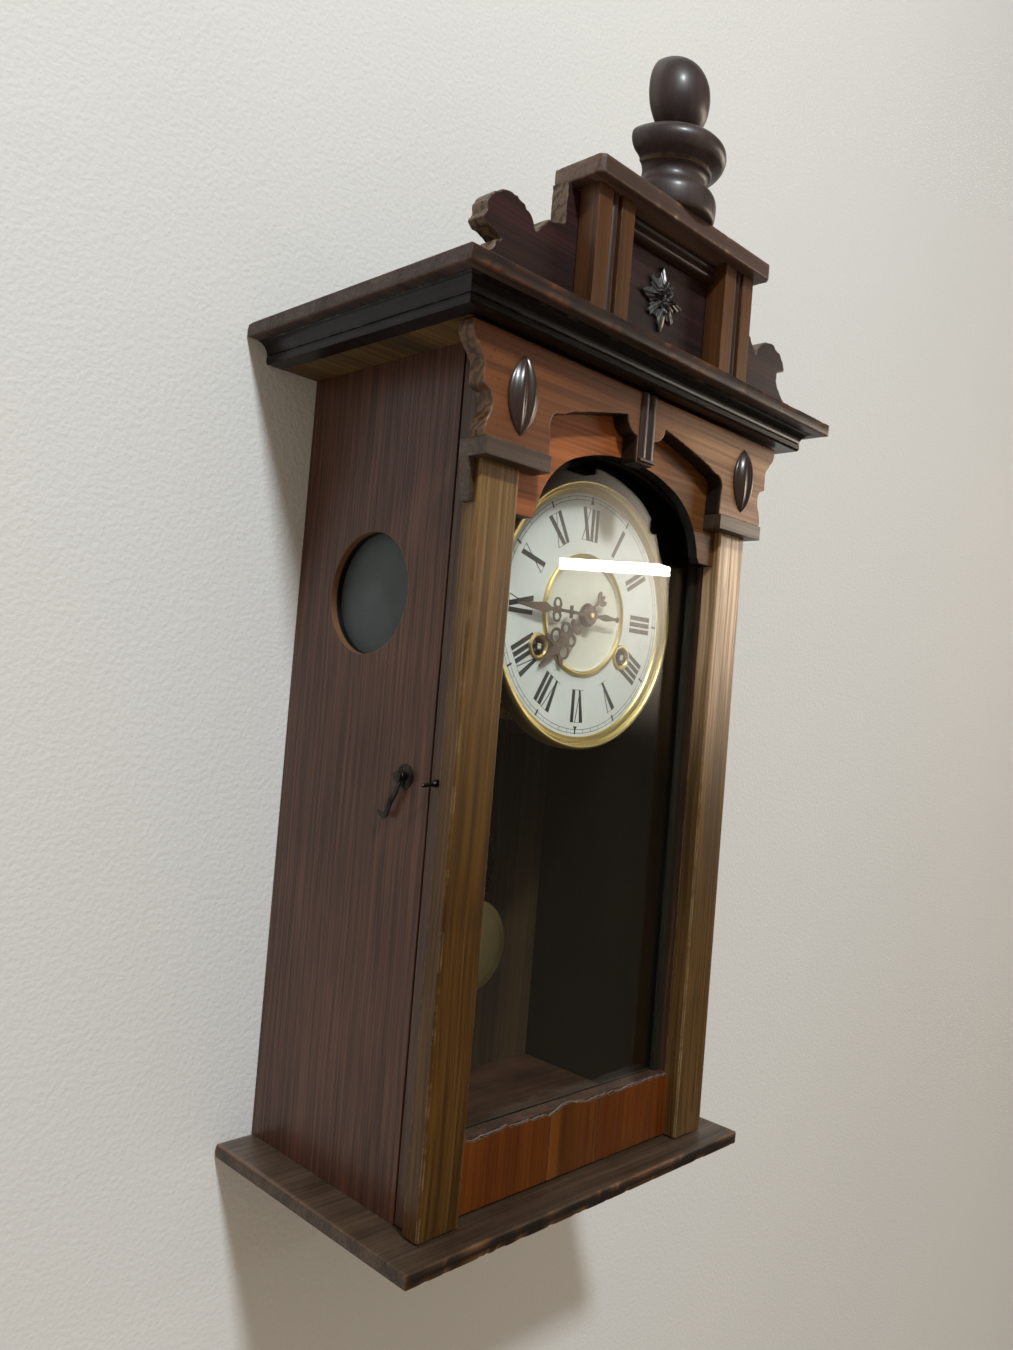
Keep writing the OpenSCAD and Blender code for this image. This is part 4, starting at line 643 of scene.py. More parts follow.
def shelf(name, finish, plan, z0, z1, ease=1.0, chips=0.8, seed=1):
    """A flat block cut to a plan: the plan is carried upwards and drawn in at the top and the
    bottom by quarter rounds, with noise nibbling both edges."""
    line = evenly(plan, 1.2)
    out = outward(line, 2)
    bend = np.linspace(0, pi / 2, 5)
    end, draw = ease * (1 - np.sin(bend)), ease * (1 - np.cos(bend))
    rise = np.concatenate([z0 + end[::-1], np.linspace(z0 + 2.5, z1 - 2.5, 4), z1 - end])
    inset = np.concatenate([draw[::-1], np.zeros(4), draw])
    spots = np.concatenate([line, np.zeros((len(line), 1))], 1)
    close = np.exp(-((rise - z0) / 1.8) ** 2) + 0.6 * np.exp(-((z1 - rise) / 1.8) ** 2)
    close = close[:, None]
    bite = np.clip(ripple(spots, 10, seed) * 0.6 + ripple(spots, 3.5, seed + 1) * 0.5 - 0.6, 0, 1.4)
    rows = line[None] - out[None] * (inset[:, None] + close * chips * bite)[..., None]
    mark = np.clip(close * (0.25 + 1.4 * bite[None]), 0, 1)
    lift = np.broadcast_to(rise[:, None], mark.shape)
    return skin(name, point(rows[..., 0], rows[..., 1], lift), finish, sharp=35, wear=mark)


cap = shelf("cap", cap_stain, cap_outline, 573.6, 584.1, ease=0.9, chips=0.4, seed=31)
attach(cap, "case")
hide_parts("pediment_cap")


# Finial. Half of a turned piece, flat at the back, of close-grained wood that was stained almost
# black and polished; the rims are rubbed to brown.
def spline(points, count):
    """A smooth open curve through points: each piece is the cubic whose slope at a point is half
    the way between that point's neighbours."""
    p = np.asarray(points, float)
    p = np.vstack([2 * p[0] - p[1], p, 2 * p[-1] - p[-2]])
    at = np.linspace(0, len(p) - 3 - 1e-9, count)
    k = at.astype(int)
    s = (at - k)[:, None]
    a, b, c, d = p[k], p[k + 1], p[k + 2], p[k + 3]
    return b + 0.5 * s * (c - a + s * (2 * a - 5 * b + 4 * c - d + s * (3 * (b - c) + d - a)))


def turned(name, finish, profile, spot, upright=True, around=96, sharp=38, arc_of=2 * pi):
    """A shape turned on a lathe: its profile of radius and height is carried round an axis
    through spot, upright or along the depth; part of a turn closes on itself with a flat back."""
    a = np.linspace(0, arc_of, around, endpoint=arc_of < 6)
    r, h = profile[:, :1], profile[:, 1:]
    if upright:
        rings = point(spot[0] + r * np.cos(a), spot[1] + r * np.sin(a), spot[2] + h + 0 * a)
    else:
        rings = point(spot[0] + r * np.cos(a), spot[1] + h + 0 * a, spot[2] + r * np.sin(a))
    return skin(name, rings, finish, sharp=sharp)


finial_polish = wood("finial_polish", (0.022, 0.016, 0.016), (0.041, 0.028, 0.027),
                     (0.075, 0.053, 0.049), streak=34.0, gloss=0.44, coat=0.2,
                     worn=(0.24, 0.13, 0.07), wear=0.8, radius=0.0016, pore=0.25)
outline = np.concatenate([
    [(0.05, 0.02), (29.9, 0.02)], spline([(30.7, 0.8), (31.3, 3.4), (31.6, 8), (31.2, 12.4),
                                          (29.4, 15.8), (26.6, 17.8)], 20),
    [(25.8, 18.1)], spline([(24.6, 19.2), (23.9, 22.2), (24.2, 25.2), (25.4, 27.4)], 12),
    [(26.4, 27.9), (27.1, 28.4), (27.2, 30)],
    [(28.2, 31.0)], spline([(30.4, 32.0), (33.0, 33.6), (35.0, 36.6), (35.7, 40), (34.8, 43.6),
                            (32.2, 46.6)], 24),
    spline([(30.4, 47.7), (26, 49.2), (20.8, 50.3), (14.6, 51.2)], 12),
    spline([(12.0, 52.2), (11.6, 53.6), (13.4, 55.4), (17.4, 59), (20.8, 64), (22.7, 70), (23.15, 77),
            (22.3, 83.6), (19.9, 89.8), (16.2, 95),
            (11.2, 98.9), (5.8, 101), (0.05, 101.45)], 64)])
finial = turned("finial_turned", finial_polish, outline, (0, 172, 584.12), around=65, arc_of=pi)
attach(finial, "case")
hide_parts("finial")


# Sound gauze. Fine grey-green cloth of woven wire behind each round hole.
gauze_weave, t = fresh("gauze_weave")
at = add(t, "TexCoord").outputs["Object"]
one = add(t, "TexWave", {"Vector": at, "Scale": 420.0}, bands_direction="Y")
two = add(t, "TexWave", {"Vector": at, "Scale": 420.0}, bands_direction="Z")
net = calc(t, "MAXIMUM", one.outputs["Fac"], two.outputs["Fac"])
soil = noise(t, at, 30.0, 4.0)
shade = calc(t, "MULTIPLY", net, soil)
tone = ramp(t, shade, (0.032, 0.041, 0.042), (0.1, 0.123, 0.127))
bump = add(t, "Bump", {"Height": net, "Strength": 0.3, "Distance": 0.0003})
body = add(t, "BsdfPrincipled", {"Base Color": tone, "Roughness": 0.6,
                                 "Normal": bump.outputs["Normal"]})
add(t, "OutputMaterial", {"Surface": body.outputs[0]})
dress(gauze_weave, "sound_gauzes")


# Iron and brass fittings: the hanger plate, the hinges, the hook with its rosette and its eye.
dark_iron = metal("dark_iron", (0.05, 0.044, 0.04), rough=0.42, spots=(0.03, 0.018, 0.012),
                  patina=0.6, relief=0.3)
dull_brass = metal("dull_brass", (0.42, 0.3, 0.12), rough=0.38, patina=0.5)
dress(dark_iron, "hanger_plate", "hook_rosette")
dress(dull_brass, "case_hinges", "door_hinge_leaves")


def wire(name, finish, path, radius, sides=14):
    """Round wire bent along a path. At each point a circle stands square to the path, turned as
    little as it can be from the last one. The radius may change along the way."""
    path = np.asarray(path, float)
    way = np.gradient(path, axis=0)
    way /= np.linalg.norm(way, axis=1, keepdims=True)
    first = np.cross(way[0], (0.13, 0.71, 0.69))
    frames = [first / np.linalg.norm(first)]
    for step in way[1:]:
        side = frames[-1] - step * np.dot(frames[-1], step)
        frames.append(side / np.linalg.norm(side))
    one = np.array(frames)
    two = np.cross(way, one)
    a = np.linspace(0, 2 * pi, sides, endpoint=False)
    thick = np.broadcast_to(radius, len(path))[:, None, None]
    ring = one[:, None] * np.cos(a)[:, None] + two[:, None] * np.sin(a)[:, None]
    rings = path[:, None] + thick * ring
    return skin(name, placed(rings), finish, sharp=50)


def strap(name, finish, path, wide, thick, sides=16):
    """A flat cast arm along a path in the plane of the case side: at each point a flattened ring
    stands square to the path, wide across it and thick away from the case."""
    path = np.asarray(path, float)
    way = np.gradient(path[:, 1:], axis=0)
    way /= np.linalg.norm(way, axis=1, keepdims=True)
    across = np.stack([0 * way[:, 0], -way[:, 1], way[:, 0]], -1)
    a = np.linspace(0, 2 * pi, sides, endpoint=False)
    flat = np.sign(np.cos(a)) * np.abs(np.cos(a)) ** 0.7
    rings = path[:, None] + across[:, None] * (wide[:, None] / 2 * flat)[..., None]
    rings[..., 0] += thick[:, None] / 2 * np.sin(a)
    return skin(name, placed(rings), finish, sharp=50)


share = [0, 0.12, 0.3, 0.5, 0.68, 0.8, 0.9, 1]
hook_path = spline([(-128.15, 119.5 - s, 238.3 - h) for s, h in
                    [(0.2, 1.2), (1.0, 4.4), (2.6, 8.2), (4.6, 11.6), (6.5, 15), (8.2, 18.6),
                     (9.6, 21.6), (12, 23), (14.6, 22.4), (16.6, 20.2)]], 72)
along = np.linspace(0, 1, 72)
hook_wide = np.interp(along, share, [5.2, 3.8, 4.5, 3.9, 4.4, 3.5, 2.6, 1.4])
hook_thick = np.interp(along, share, [1.5, 1.2, 1.5, 1.3, 1.5, 1.3, 1.1, 0.7])
hook = strap("hook", dark_iron, hook_path, hook_wide, hook_thick)
turn = np.linspace(0, 2 * pi, 48, endpoint=False)
small = np.linspace(0, 2 * pi, 12, endpoint=False)
rings = np.stack([-128.15 + 0.78 * np.sin(small)[None] + 0 * turn[:, None],
                  119.5 + np.cos(turn)[:, None] * (2.45 + 0.8 * np.cos(small)[None]),
                  238.3 + np.sin(turn)[:, None] * (2.45 + 0.8 * np.cos(small)[None])], -1)
hook_ring = skin("hook_ring", placed(rings), dark_iron, closed=False)
for piece in (hook, hook_ring):
    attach(piece, "latch_hook")
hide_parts("side_hook")
eye_path = np.stack([np.linspace(-124.36, -135.9, 40), np.full(40, 147.0),
                     np.linspace(237.6, 236.3, 40)], -1)
eye_radius = np.interp(np.linspace(0, 1, 40), [0, 0.02, 0.2, 0.26, 0.32, 0.9, 1],
                       [1.9, 2.05, 2.05, 1.7, 1.2, 1.05, 0.5])
eye = wire("eye", dark_iron, eye_path, eye_radius)
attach(eye, "door")
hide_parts("hook_eye")


# Door frame. Two stiles, an arched top rail and a bottom rail, stained reddish brown. Three
# pieces of veneer, broken along their upper edge, cover the bottom rail.
stile_stain = wood("stile_stain", (0.022, 0.0095, 0.0055), (0.055, 0.026, 0.016),
                   (0.1, 0.05, 0.032), gloss=0.42, coat=0.15, worn=(0.28, 0.17, 0.1), wear=0.5,
                   shift=0.7)
# The arched rail's colour darkens towards the right: painted shade.
arch_stain = wood("arch_stain", (0.18, 0.052, 0.015), (0.3, 0.09, 0.026), (0.42, 0.13, 0.04),
                  grain=0, gloss=0.42, coat=0.06, worn=(0.3, 0.18, 0.11), wear=0.3, shift=0.3,
                  cut=(0.012, 0.009, 0.008), shine=0.25, painted_light_ramp=(0, -0.02, 0.06, 0.4, 0.5, 0.4))
dress(stile_stain, "door_stile_left", "door_stile_right", "door_bottom_rail")
dress(arch_stain, "door_arch_rail")
facing_varnish = wood("facing_varnish", (0.07, 0.015, 0.0019), (0.11, 0.028, 0.0034),
                      (0.16, 0.043, 0.0063), streak=60.0, gloss=0.32, coat=0.08,
                      worn=(0.2, 0.15, 0.11), wear=0.4, shift=1.9, cut=(0.17, 0.14, 0.115),
                      sawn_from=9.0, shine=0.2, spread=1.3, pore=1.1)
walnut_varnish = wood("walnut_varnish", (0.065, 0.018, 0.0024), (0.11, 0.032, 0.0049),
                      (0.16, 0.051, 0.0089), streak=60.0, gloss=0.32, coat=0.08,
                      worn=(0.2, 0.15, 0.11), wear=0.4, shift=0.9, cut=(0.17, 0.14, 0.115),
                      sawn_from=9.0, shine=0.2)
for name, finish, x0, x1, seed in (("facing_left", facing_varnish, -99.05, -20.1, 51),
                                   ("facing_middle", walnut_varnish, -19.95, 25.9, 52),
                                   ("facing_right", facing_varnish, 26.05, 99.05, 53)):
    x = np.linspace(x1, x0, int((x1 - x0) / 0.8))
    spots = np.stack([x, 0 * x, 0 * x], -1)
    lip = 41.5 + 0.35 * ripple(spots, 14, 60) + 0.25 * ripple(spots, 4, 61) \
        + 2.6 * np.exp(-((x + 1) / 9) ** 2) - 1.6 * np.clip(1 - np.abs(x + 20) / 2.5, 0, 1) \
        + 0.9 * np.exp(-((x - 66) / 12) ** 2)
    outline = np.concatenate([[(x0, 1.3), (x1, 1.3)], np.stack([x, lip], -1)])
    facing = cut_board(name, finish, outline, 153.52, 156.5, ease=0.25, chips=0.15, seed=seed,
                       step=0.8)
    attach(facing, "door")
    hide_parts("rail_facings")


# Pilasters. Thick strips of straight-grained wood, varnished olive brown, with pale arrises.
# Both are painted paler towards the top, the right one more: a painted glare of the tube light.
olive_varnish = wood("olive_varnish", (0.04, 0.017, 0.0024), (0.07, 0.03, 0.0051),
                     (0.1, 0.049, 0.01), streak=330.0, gloss=0.36, coat=0.2, worn=(0.42, 0.3, 0.18),
                     wear=0.5, radius=0.0012, shift=2.6, shine=0.25,
                     painted_light_ramp=(2, -0.27, -0.04, 2.2, 2.7, 4.6), pore=1.6, spread=1.15)
painted_glare_varnish = wood("painted_glare_varnish", (0.05, 0.024, 0.0054), (0.086, 0.043, 0.011),
                     (0.13, 0.068, 0.02), streak=330.0, gloss=0.36, coat=0.25,
                     worn=(0.42, 0.3, 0.18), wear=0.9, radius=0.0012, shift=4.1, shine=0.3,
                     speck=0.5, painted_light_ramp=(2, -0.24, -0.06, 4.6, 5.8, 12.0), pore=1.6, spread=1.15)
dress(olive_varnish, "pilaster_left")
dress(painted_glare_varnish, "pilaster_right")


# Capitals. Small blocks with slim ears that run down beside the pilasters, stained greyish brown
# and flecked.
capital_stain = wood("capital_stain", (0.034, 0.022, 0.015), (0.06, 0.039, 0.027),
                     (0.092, 0.061, 0.043), grain=0, gloss=0.42, coat=0.12, worn=(0.26, 0.18, 0.12),
                     wear=0.45, speck=0.5)
dress(capital_stain, "capitals")


# Frieze. A thick board sawn to an arch on each side of a central drop and to steps at its ends.
# It is flecked, its edges show the saw and the end grain, and its right half is painted paler: a
# painted glare of the light from the right.
def both_halves(half):
    """A closed outline from its right half, which runs from the middle line back to it."""
    half = np.asarray(half, float)
    return np.concatenate([half, (half * (-1, 1))[-2:0:-1]])


# z is the height of the board's lower edge and h how tall it is.
z = 421.0
h = 57.5
half = np.concatenate([
    [(0, z + 0.25 * h), (8.3, z + 0.25 * h)], arc(8.3, z + 0.71 * h, 10.5, 270, 360, 10),
    [(49.9, z + 0.591 * h), (65.9, z + 0.518 * h), (76.1, z + 0.45 * h)],
    arc(78.55, z + 0.311 * h, 7.5, 80, 0, 8),
    [(84.95, z + 0.18 * h), (84.55, z), (135.05, z), (135.35, z + 0.07 * h), (134.05, z + 0.16 * h)],
    spline([(131.5, z + 0.25 * h), (131.2, z + 0.34 * h), (133.0, z + 0.42 * h)], 8),
    [(138.75, z + 0.46 * h), (138.75, z + 0.68 * h)], arc(136.95, z + 0.96 * h, 12, -50, 0, 8),
    [(148.95, z + h), (0, z + h)]])
frieze_stain = wood("frieze_stain", (0.074, 0.024, 0.0075), (0.13, 0.042, 0.013),
                    (0.17, 0.061, 0.021), grain=0, streak=70.0, gloss=0.4, coat=0.12,
                    worn=(0.3, 0.2, 0.12), wear=0.4, cut=(0.014, 0.009, 0.007),
                    sawn=(0.13, 0.062, 0.024), sawn_from=0.129, speck=0.6, shine=0.3,
                    painted_light_ramp=(0, -0.01, 0.06, 2.0, 2.9, 4.0), pore=0.7, spread=0.8)
frieze = cut_board("frieze", frieze_stain, both_halves(half), 160.55, 172.5, ease=0.6, chips=0.35,
                   seed=41, sunk=0.2)
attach(frieze, "door")
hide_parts("frieze_board")


# Bosses. Almond-shaped drops turned and split, polished nearly black, with two ridges.
def almond(name, cx, cz, half_w, half_h, crown):
    """Half an almond on the frieze: across it runs a shallow dome with two ridges and a groove
    between them, and both its width and its height shrink to the tips by circular arcs."""
    v = np.sin(np.linspace(-pi / 2 * 0.985, pi / 2 * 0.985, 61))
    r = (half_h ** 2 + half_w ** 2) / (2 * half_w)
    width = np.sqrt(r ** 2 - (v * half_h) ** 2) - (r - half_w)
    u = np.sin(np.linspace(-pi / 2, pi / 2, 41))
    ridge = np.sqrt(np.clip(1 - u ** 2, 0,
                            1)) * (0.82 + 0.2 * np.cos(2 * pi * (np.abs(u) - 0.42) / 0.84))
    share = (width / half_w)[:, None]
    front = 172.55 + crown * np.power(share, 0.8) * np.clip(ridge, 0, 1)[None] + 0.4 * share
    x = cx + width[:, None] * u[None]
    x = np.concatenate([x, x[:, -1:], x[:, :1]], 1)
    front = np.concatenate([front, np.full((61, 2), 172.52)], 1)
    lift = cz + np.broadcast_to((v * half_h)[:, None], x.shape)
    return skin(name, point(x, front, lift), black_polish, sharp=55)


bosses = [almond("boss_" + side, cx, 448.25, 11.4, 21.7, 5.4) for side,
          cx in (("left", -109.55), ("right", 109.55))]
for boss in bosses:
    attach(boss, "door")
    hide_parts("frieze_bosses")


# Glass and its strips. A plain pane, held from behind, with a black strip before it.
pane, t = fresh("pane")
body = add(t, "BsdfPrincipled", {"Base Color": (0.93, 0.95, 0.94), "Roughness": 0.0, "IOR": 1.5,
                                 "Transmission Weight": 1.0,
                                 "Specular IOR Level": 0.2})
path = add(t, "LightPath")
clear = add(t, "BsdfTransparent", {"Color": (0.9, 0.92, 0.91)})
both = add(t, "MixShader", {0: path.outputs["Is Shadow Ray"], 1: body.outputs[0], 2: clear.outputs[0]})
add(t, "OutputMaterial", {"Surface": both.outputs[0]})
dress(pane, "door_glass")
black_paint = wood("black_paint", (0.008, 0.007, 0.004), (0.015, 0.013, 0.0075),
                   (0.025, 0.022, 0.013), gloss=0.45, coat=0.0, wear=0.2, worn=(0.05, 0.04, 0.03))
dress(black_paint, "glass_beads")


# Dial. A sheet-metal pan painted white, with a sunk middle, and the ring of minutes and the
# numerals printed on it in black.
dial_paint, t = fresh("dial_paint")
at = add(t, "TexCoord").outputs["Object"]
mist = noise(t, at, 26.0, 5.0, 0.6)
shift = vector(t, "ADD", at, (0.0, 0.0, 0.109))
flat = vector(t, "MULTIPLY", shift, (1.0, 0.0, 1.0))
away = vector(t, "LENGTH", flat)
inner = remap(t, away, 0.034, 0.037)
soft = remap(t, mist, 0.35, 0.7)
white = blend(t, soft, (0.58, 0.56, 0.51), (0.5, 0.485, 0.44))
cream = blend(t, soft, (0.6, 0.555, 0.45), (0.51, 0.47, 0.38))
tone = blend(t, inner, cream, white)
body = add(t, "BsdfPrincipled", {"Base Color": tone, "Roughness": 0.45, "Specular IOR Level": 0.3})
add(t, "OutputMaterial", {"Surface": body.outputs[0]})
dress(dial_paint, "dial_pan")


def stroke(x0, y0, x1, y1, w0, w1):
    """The four corners of a straight stroke whose ends are cut level."""
    return [(x0 - w0 / 2, y0), (x0 + w0 / 2, y0), (x1 + w1 / 2, y1), (x1 - w1 / 2, y1)]


def numeral(letters, low, high):
    """The strokes of a Roman numeral, set upright about x = 0 between two heights: thick and thin
    strokes as a broad pen makes them, with hairline serifs."""
    room = {"I": 4.3, "V": 7.6, "X": 8.0}
    x = -sum(room[c] for c in letters) / 2
    strokes = []
    for c in letters:
        m, w = x + room[c] / 2, room[c] / 2 - 0.9
        if c == "I":
            strokes.append(stroke(m, low, m, high, 2.9, 3.1))
        elif c == "V":
            strokes.append(stroke(m + 0.3, low, m - w, high, 1.8, 3.5))
            strokes.append(stroke(m - 0.1, low, m + w, high, 0.7, 0.7))
        else:
            strokes.append(stroke(m + w - 0.4, low, m - w + 0.4, high, 3.4, 3.4))
            strokes.append(stroke(m - w, low, m + w, high, 0.7, 0.7))
        x += room[c]
    total = sum(room[c] for c in letters) / 2
    strokes += [stroke(0, low - 0.15, 0, low + 0.15, 2 * total - 1, 2 * total - 1),
                stroke(0, high - 0.15, 0, high + 0.15, 2 * total - 1, 2 * total - 1)]
    return np.array(strokes)


def on_dial(shapes, turn):
    """Flat shapes drawn about the dial's top, turned clockwise by an angle in degrees."""
    c, s = cos(radians(turn)), sin(radians(turn))
    return np.stack([shapes[..., 0] * c + shapes[..., 1] * s, -shapes[..., 0] * s + shapes[..., 1] * c],
                    -1)


hand_z = 343
marks = []
for hour, letters in enumerate(["XII", "I", "II", "III", "IIII", "V", "VI", "VII", "VIII", "IX", "X",
                                "XI"]):
    marks.append(on_dial(numeral(letters, 47.5, 68.0), 30 * hour))
    marks.append(on_dial(np.array([stroke(0, 71.2, 0, 75.6, 1.3, 1.3)]), 30 * hour))
for minute in range(60):
    marks.append(on_dial(np.array([stroke(0, 72.6, 0, 75.0, 0.28, 0.28)]), 6 * minute))
for top in (0, 180):
    marks.append(on_dial(np.array([[(-1.9, 70.6), (1.9, 70.6), (0.1, 73.6), (-0.1, 73.6)]]), top))
for r in (72.6, 75.0):
    a = np.linspace(0, 2 * pi, 181)
    ins, outs = r - 0.16, r + 0.16
    marks.append(np.stack([np.stack([q * np.cos(b), q * np.sin(b)], -1) for q, b in
                           ((ins, a[:-1]), (outs, a[:-1]), (outs, a[1:]), (ins, a[1:]))], 1))
marks = np.concatenate(marks)
# Each mark is a film of ink 0.03 mm thick: its four corners on the paint and again above it.
low = point(marks[..., 0], 132.71, hand_z + marks[..., 1])
high = point(marks[..., 0], 132.74, hand_z + marks[..., 1])
corners = np.concatenate([low, high], 1)
start = 8 * np.arange(len(marks))[:, None, None]
faces = start + np.array([[0, 1, 2, 3], [4, 7, 6, 5], [0, 4, 5, 1], [1, 5, 6, 2], [2, 6, 7, 3],
                          [3, 7, 4, 0]])
mesh = bpy.data.meshes.new("dial_print")
mesh.from_pydata(corners.reshape(-1, 3).tolist(), [], faces.reshape(-1, 4).tolist())
face_outwards(mesh)
dial_print = linked("dial_print", mesh)
dial_ink, t = fresh("dial_ink")
at = add(t, "TexCoord").outputs["Object"]
rubs = noise(t, at, 180.0, 4.0)
tone = ramp(t, rubs, (0.006, 0.006, 0.006), (0.024, 0.023, 0.022))
body = add(t, "BsdfPrincipled", {"Base Color": tone, "Roughness": 0.4})
add(t, "OutputMaterial", {"Surface": body.outputs[0]})
mesh.materials.append(dial_ink)
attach(dial_print, "case")


# Bezel, inner ring and winding grommets. Spun brass: the bezel slopes in to the dial and rolls
# over at its rim.
bright_brass = metal("bright_brass", (0.66, 0.51, 0.22), rough=0.33, spots=(0.46, 0.35, 0.14),
                     patina=0.05, amount=0.03, relief=0.0)
profile = np.concatenate([[(77.02, 132.72), (77.05, 133.2)],
                          spline([(77.6, 133.9), (79.0, 134.6), (80.2, 135.0)], 8), [(80.5, 134.6)],
                          spline([(80.7, 135.3), (81.6, 137.2), (83.1, 138.1), (84.4, 137.4),
                                  (85.1, 135.6), (85.15, 133.6)], 24),
                          [(85.15, 126.8), (84.4, 126.8), (84.4, 132.65)]])
a = np.linspace(0, 2 * pi, 160, endpoint=False)
rings = point(profile[:, :1] * np.cos(a), profile[:, 1:] + 0 * a, hand_z + profile[:, :1] * np.sin(a))
bezel = skin("bezel", rings, bright_brass, sharp=32, closed=False)
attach(bezel, "case")
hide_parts("dial_bezel")
dress(bright_brass, "dial_rings")


# Hands. Sawn from thin brass and bronzed dark: a long spear for the minutes with two rings
# beside its stem, and a shorter one for the hours with pierced scrolls. A boss holds each.
hand_bronze = metal("hand_bronze", (0.125, 0.095, 0.076), rough=0.42, spots=(0.09, 0.06, 0.045),
                    patina=0.5)


def hand(name, outline, holes, turn, d, thick=0.7):
    """A pierced flat hand: outline and holes fill a flat curve of a given thickness, which is
    then turned clockwise about the dial's middle."""
    curve = bpy.data.curves.new(name, "CURVE")
    curve.dimensions, curve.fill_mode = "2D", "BOTH"
    curve.extrude, curve.bevel_depth, curve.bevel_resolution = thick / 2 - 0.12, 0.12, 2
    for loop in [outline, *holes]:
        line = curve.splines.new("POLY")
        line.points.add(len(loop) - 1)
        more = np.broadcast_to((0.0, 1.0), (len(loop), 2))
        line.points.foreach_set("co", np.concatenate([loop, more], 1).ravel())
        line.use_cyclic_u = True
    draft = linked(name + "_draft", curve)
    bpy.context.view_layer.update()
    shaped = draft.evaluated_get(bpy.context.evaluated_depsgraph_get())
    mesh = bpy.data.meshes.new_from_object(shaped)
    bpy.data.objects.remove(draft)
    spots = np.empty(len(mesh.vertices) * 3)
    mesh.vertices.foreach_get("co", spots)
    spots = spots.reshape(-1, 3)
    flat = on_dial(spots[:, :2], turn)
    spots = point(flat[:, 0], d + thick / 2 + spots[:, 2], hand_z + flat[:, 1])
    mesh.vertices.foreach_set("co", spots.ravel())
    face_outwards(mesh, 1e-6)
    mesh.materials.clear()
    mesh.materials.append(hand_bronze)
    mesh.name = name
    return linked(name, mesh)


def curl(cx, cy, r, n=20):
    """A round hole."""
    return arc(cx, cy, r, 0, 360 - 360 / n, n - 1)


def hand_half(points):
    """The right half of a hand, from its tail's middle to its tip, as one smooth line."""
    return both_halves(np.vstack([[points[0]], spline(points[1:-1], 6 * len(points)), [points[-1]]]))


hour_line = hand_half([(0, -21.5), (0.8, -20.8), (1.6, -18.6), (3.8, -20.4), (5.0, -18.6),
                       (4.0, -15.8), (1.6, -14.6), (1.0, -12.6), (1.1, -7.5), (4.6, -5.6),
                       (6.9, -2.2), (6.9, 2.2), (4.6, 5.6), (1.2, 7.8), (1.0, 11.6), (2.2, 12.6),
                       (4.4, 11.2), (5.8, 12.8), (4.6, 15.0), (2.0, 16.0), (1.8, 17.6), (5.4, 16.9),
                       (8.3, 19.4), (8.4, 23.2), (6.6, 25.6), (9.4, 27.0), (11.0, 31.0),
                       (9.8, 34.8), (12.2, 37.0), (11.2, 39.0), (8.2, 38.4), (5.4, 36.9),
                       (2.6, 37.6), (3.3, 40.5), (2.5, 44.6), (0.5, 53.6), (0, 54)])
hour_holes = [curl(-4.7, 21.4, 2.6), curl(4.7, 21.4, 2.6), curl(-6.1, 31.2, 3.5),
              curl(6.1, 31.2, 3.5), curl(0, 0, 3.02, 32)]
hour_d, minute_d = 135.1, 137.7
hour = hand("hour_hand_blade", hour_line, hour_holes, 229, hour_d)
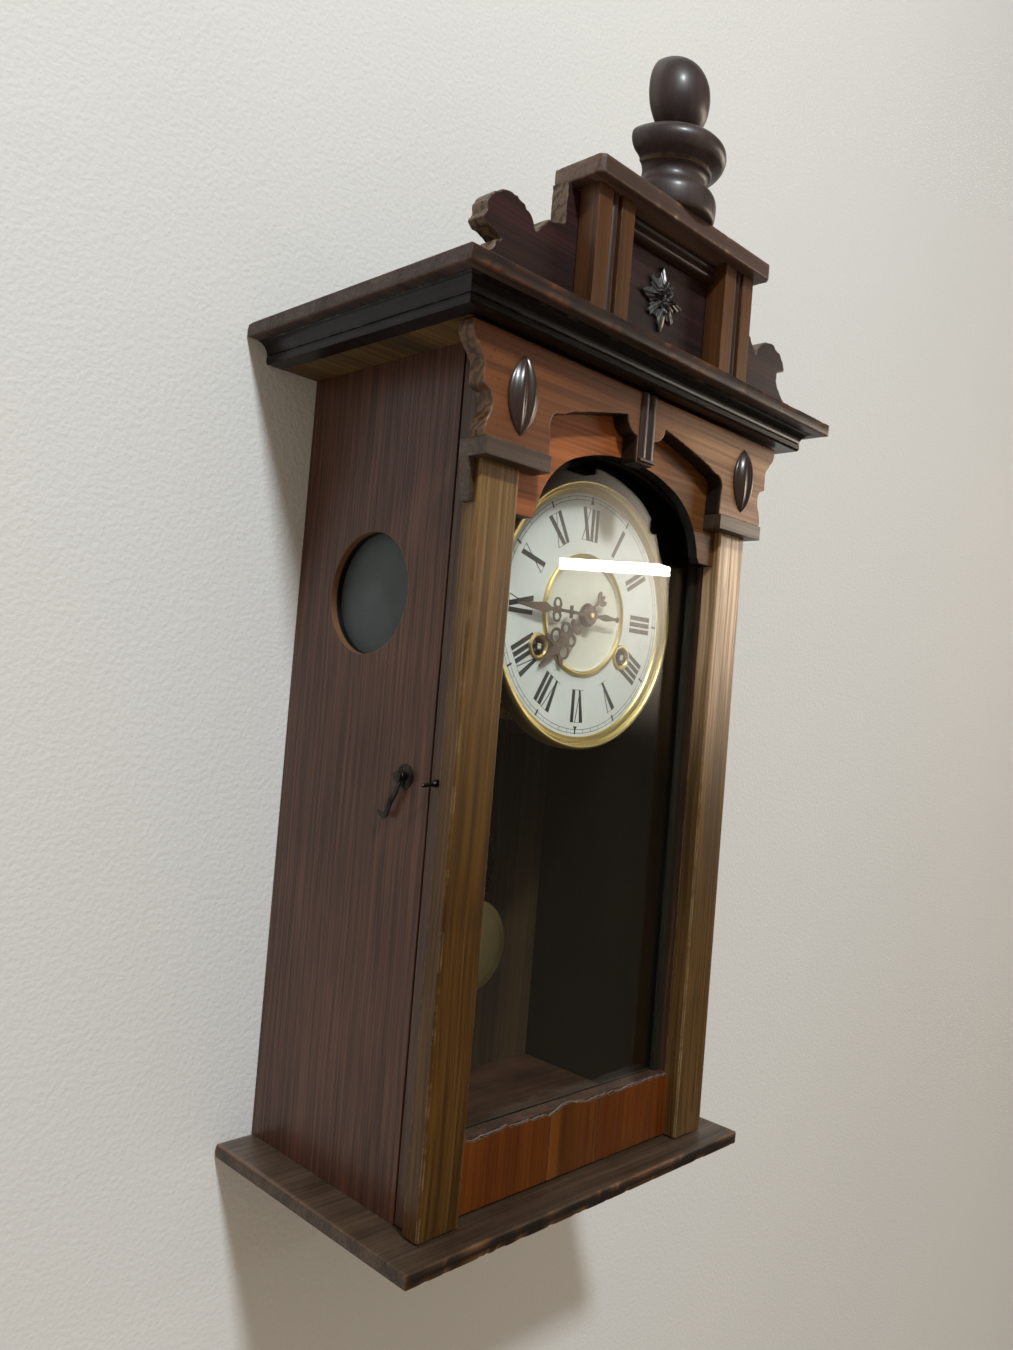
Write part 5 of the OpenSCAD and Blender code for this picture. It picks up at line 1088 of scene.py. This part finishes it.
minute_line = hand_half([(0, -29), (1.2, -28.4), (1.6, -27.0), (1.0, -25.6), (0.7, -24.2),
                         (1.6, -19.0), (2.1, -15.0), (1.2, -10.0), (1.1, -7.0), (4.2, -4.8),
                         (6.2, -1.6), (6.2, 1.6), (4.2, 4.8), (1.2, 7.0), (1.0, 15.6), (1.4, 16.8),
                         (3.6, 16.8), (4.0, 18.0), (3.4, 19.2), (1.3, 19.2), (1.0, 20.6),
                         (1.0, 27.6), (3.4, 27.3), (6.6, 28.8), (7.5, 31.0), (6.6, 33.4),
                         (3.4, 34.8), (1.3, 34.4), (1.1, 37.0), (2.7, 40.4), (3.2, 43.4),
                         (2.6, 47.0), (0.5, 65.6), (0, 66)])
minute_holes = [curl(-4.2, 31.1, 2.25), curl(4.2, 31.1, 2.25), curl(0, 0, 1.52, 24)]
minute = hand("minute_hand_blade", minute_line, minute_holes, 270, minute_d)
boss_profile = np.concatenate([[(1.53, 0), (5.8, 0), (6.2, 0.4)],
                               spline([(6.0, 0.9), (4.6, 1.1), (3.4, 1.0)], 6),
                               [(2.6, 1.1), (2.6, 2.1), (2.3, 2.4), (1.53, 2.4)]])
r, h = boss_profile[:, :1], boss_profile[:, 1:]
rings = point(r * np.cos(a), 137.6 + 0.7 + 0.6 * h + 0 * a, hand_z + r * np.sin(a))
collet = skin("collet", rings, hand_bronze, sharp=30, closed=False)
rings = point((r + 1.5) * np.cos(a), hour_d + 0.7 + 0.45 * h + 0 * a, hand_z + (r + 1.5) * np.sin(a))
hour_boss = skin("hour_boss", rings, hand_bronze, sharp=30, closed=False)
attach(hour, "hour")
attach(hour_boss, "hour")
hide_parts("hour_hand")
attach(minute, "centre")
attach(collet, "centre")
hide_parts("minute_hand")


# Movement. Brass plates, wheels and barrels, and steel arbors, behind the dial.
clock_brass = metal("clock_brass", (0.62, 0.45, 0.19), rough=0.28, patina=0.4)
clock_steel = metal("clock_steel", (0.4, 0.4, 0.41), rough=0.3, patina=0.3)
dress(clock_brass, "front_plate", "back_plate", "plate_pillars", "time_barrel", "strike_barrel",
      "centre_wheel", "third_wheel",
      "escape_wheel", "minute_wheel", "hour_wheel", "pendulum_rod")
dress(clock_steel, "case_screws", "time_arbor", "strike_arbor", "verge", "hammer")


# Gong. A coil of blued steel on a black cast stand, fixed to the back board.
gong_blue = metal("gong_blue", (0.1, 0.12, 0.2), rough=0.25, patina=0.4)
dress(gong_blue, "gong_coil")
dress(black_cast, "gong_stand")


# Pendulum bob. A brass disc, paler and less tarnished than the movement.
bob_brass = metal("bob_brass", (0.9, 0.7, 0.32), rough=0.36, patina=0.06)
dress(bob_brass, "pendulum_bob")
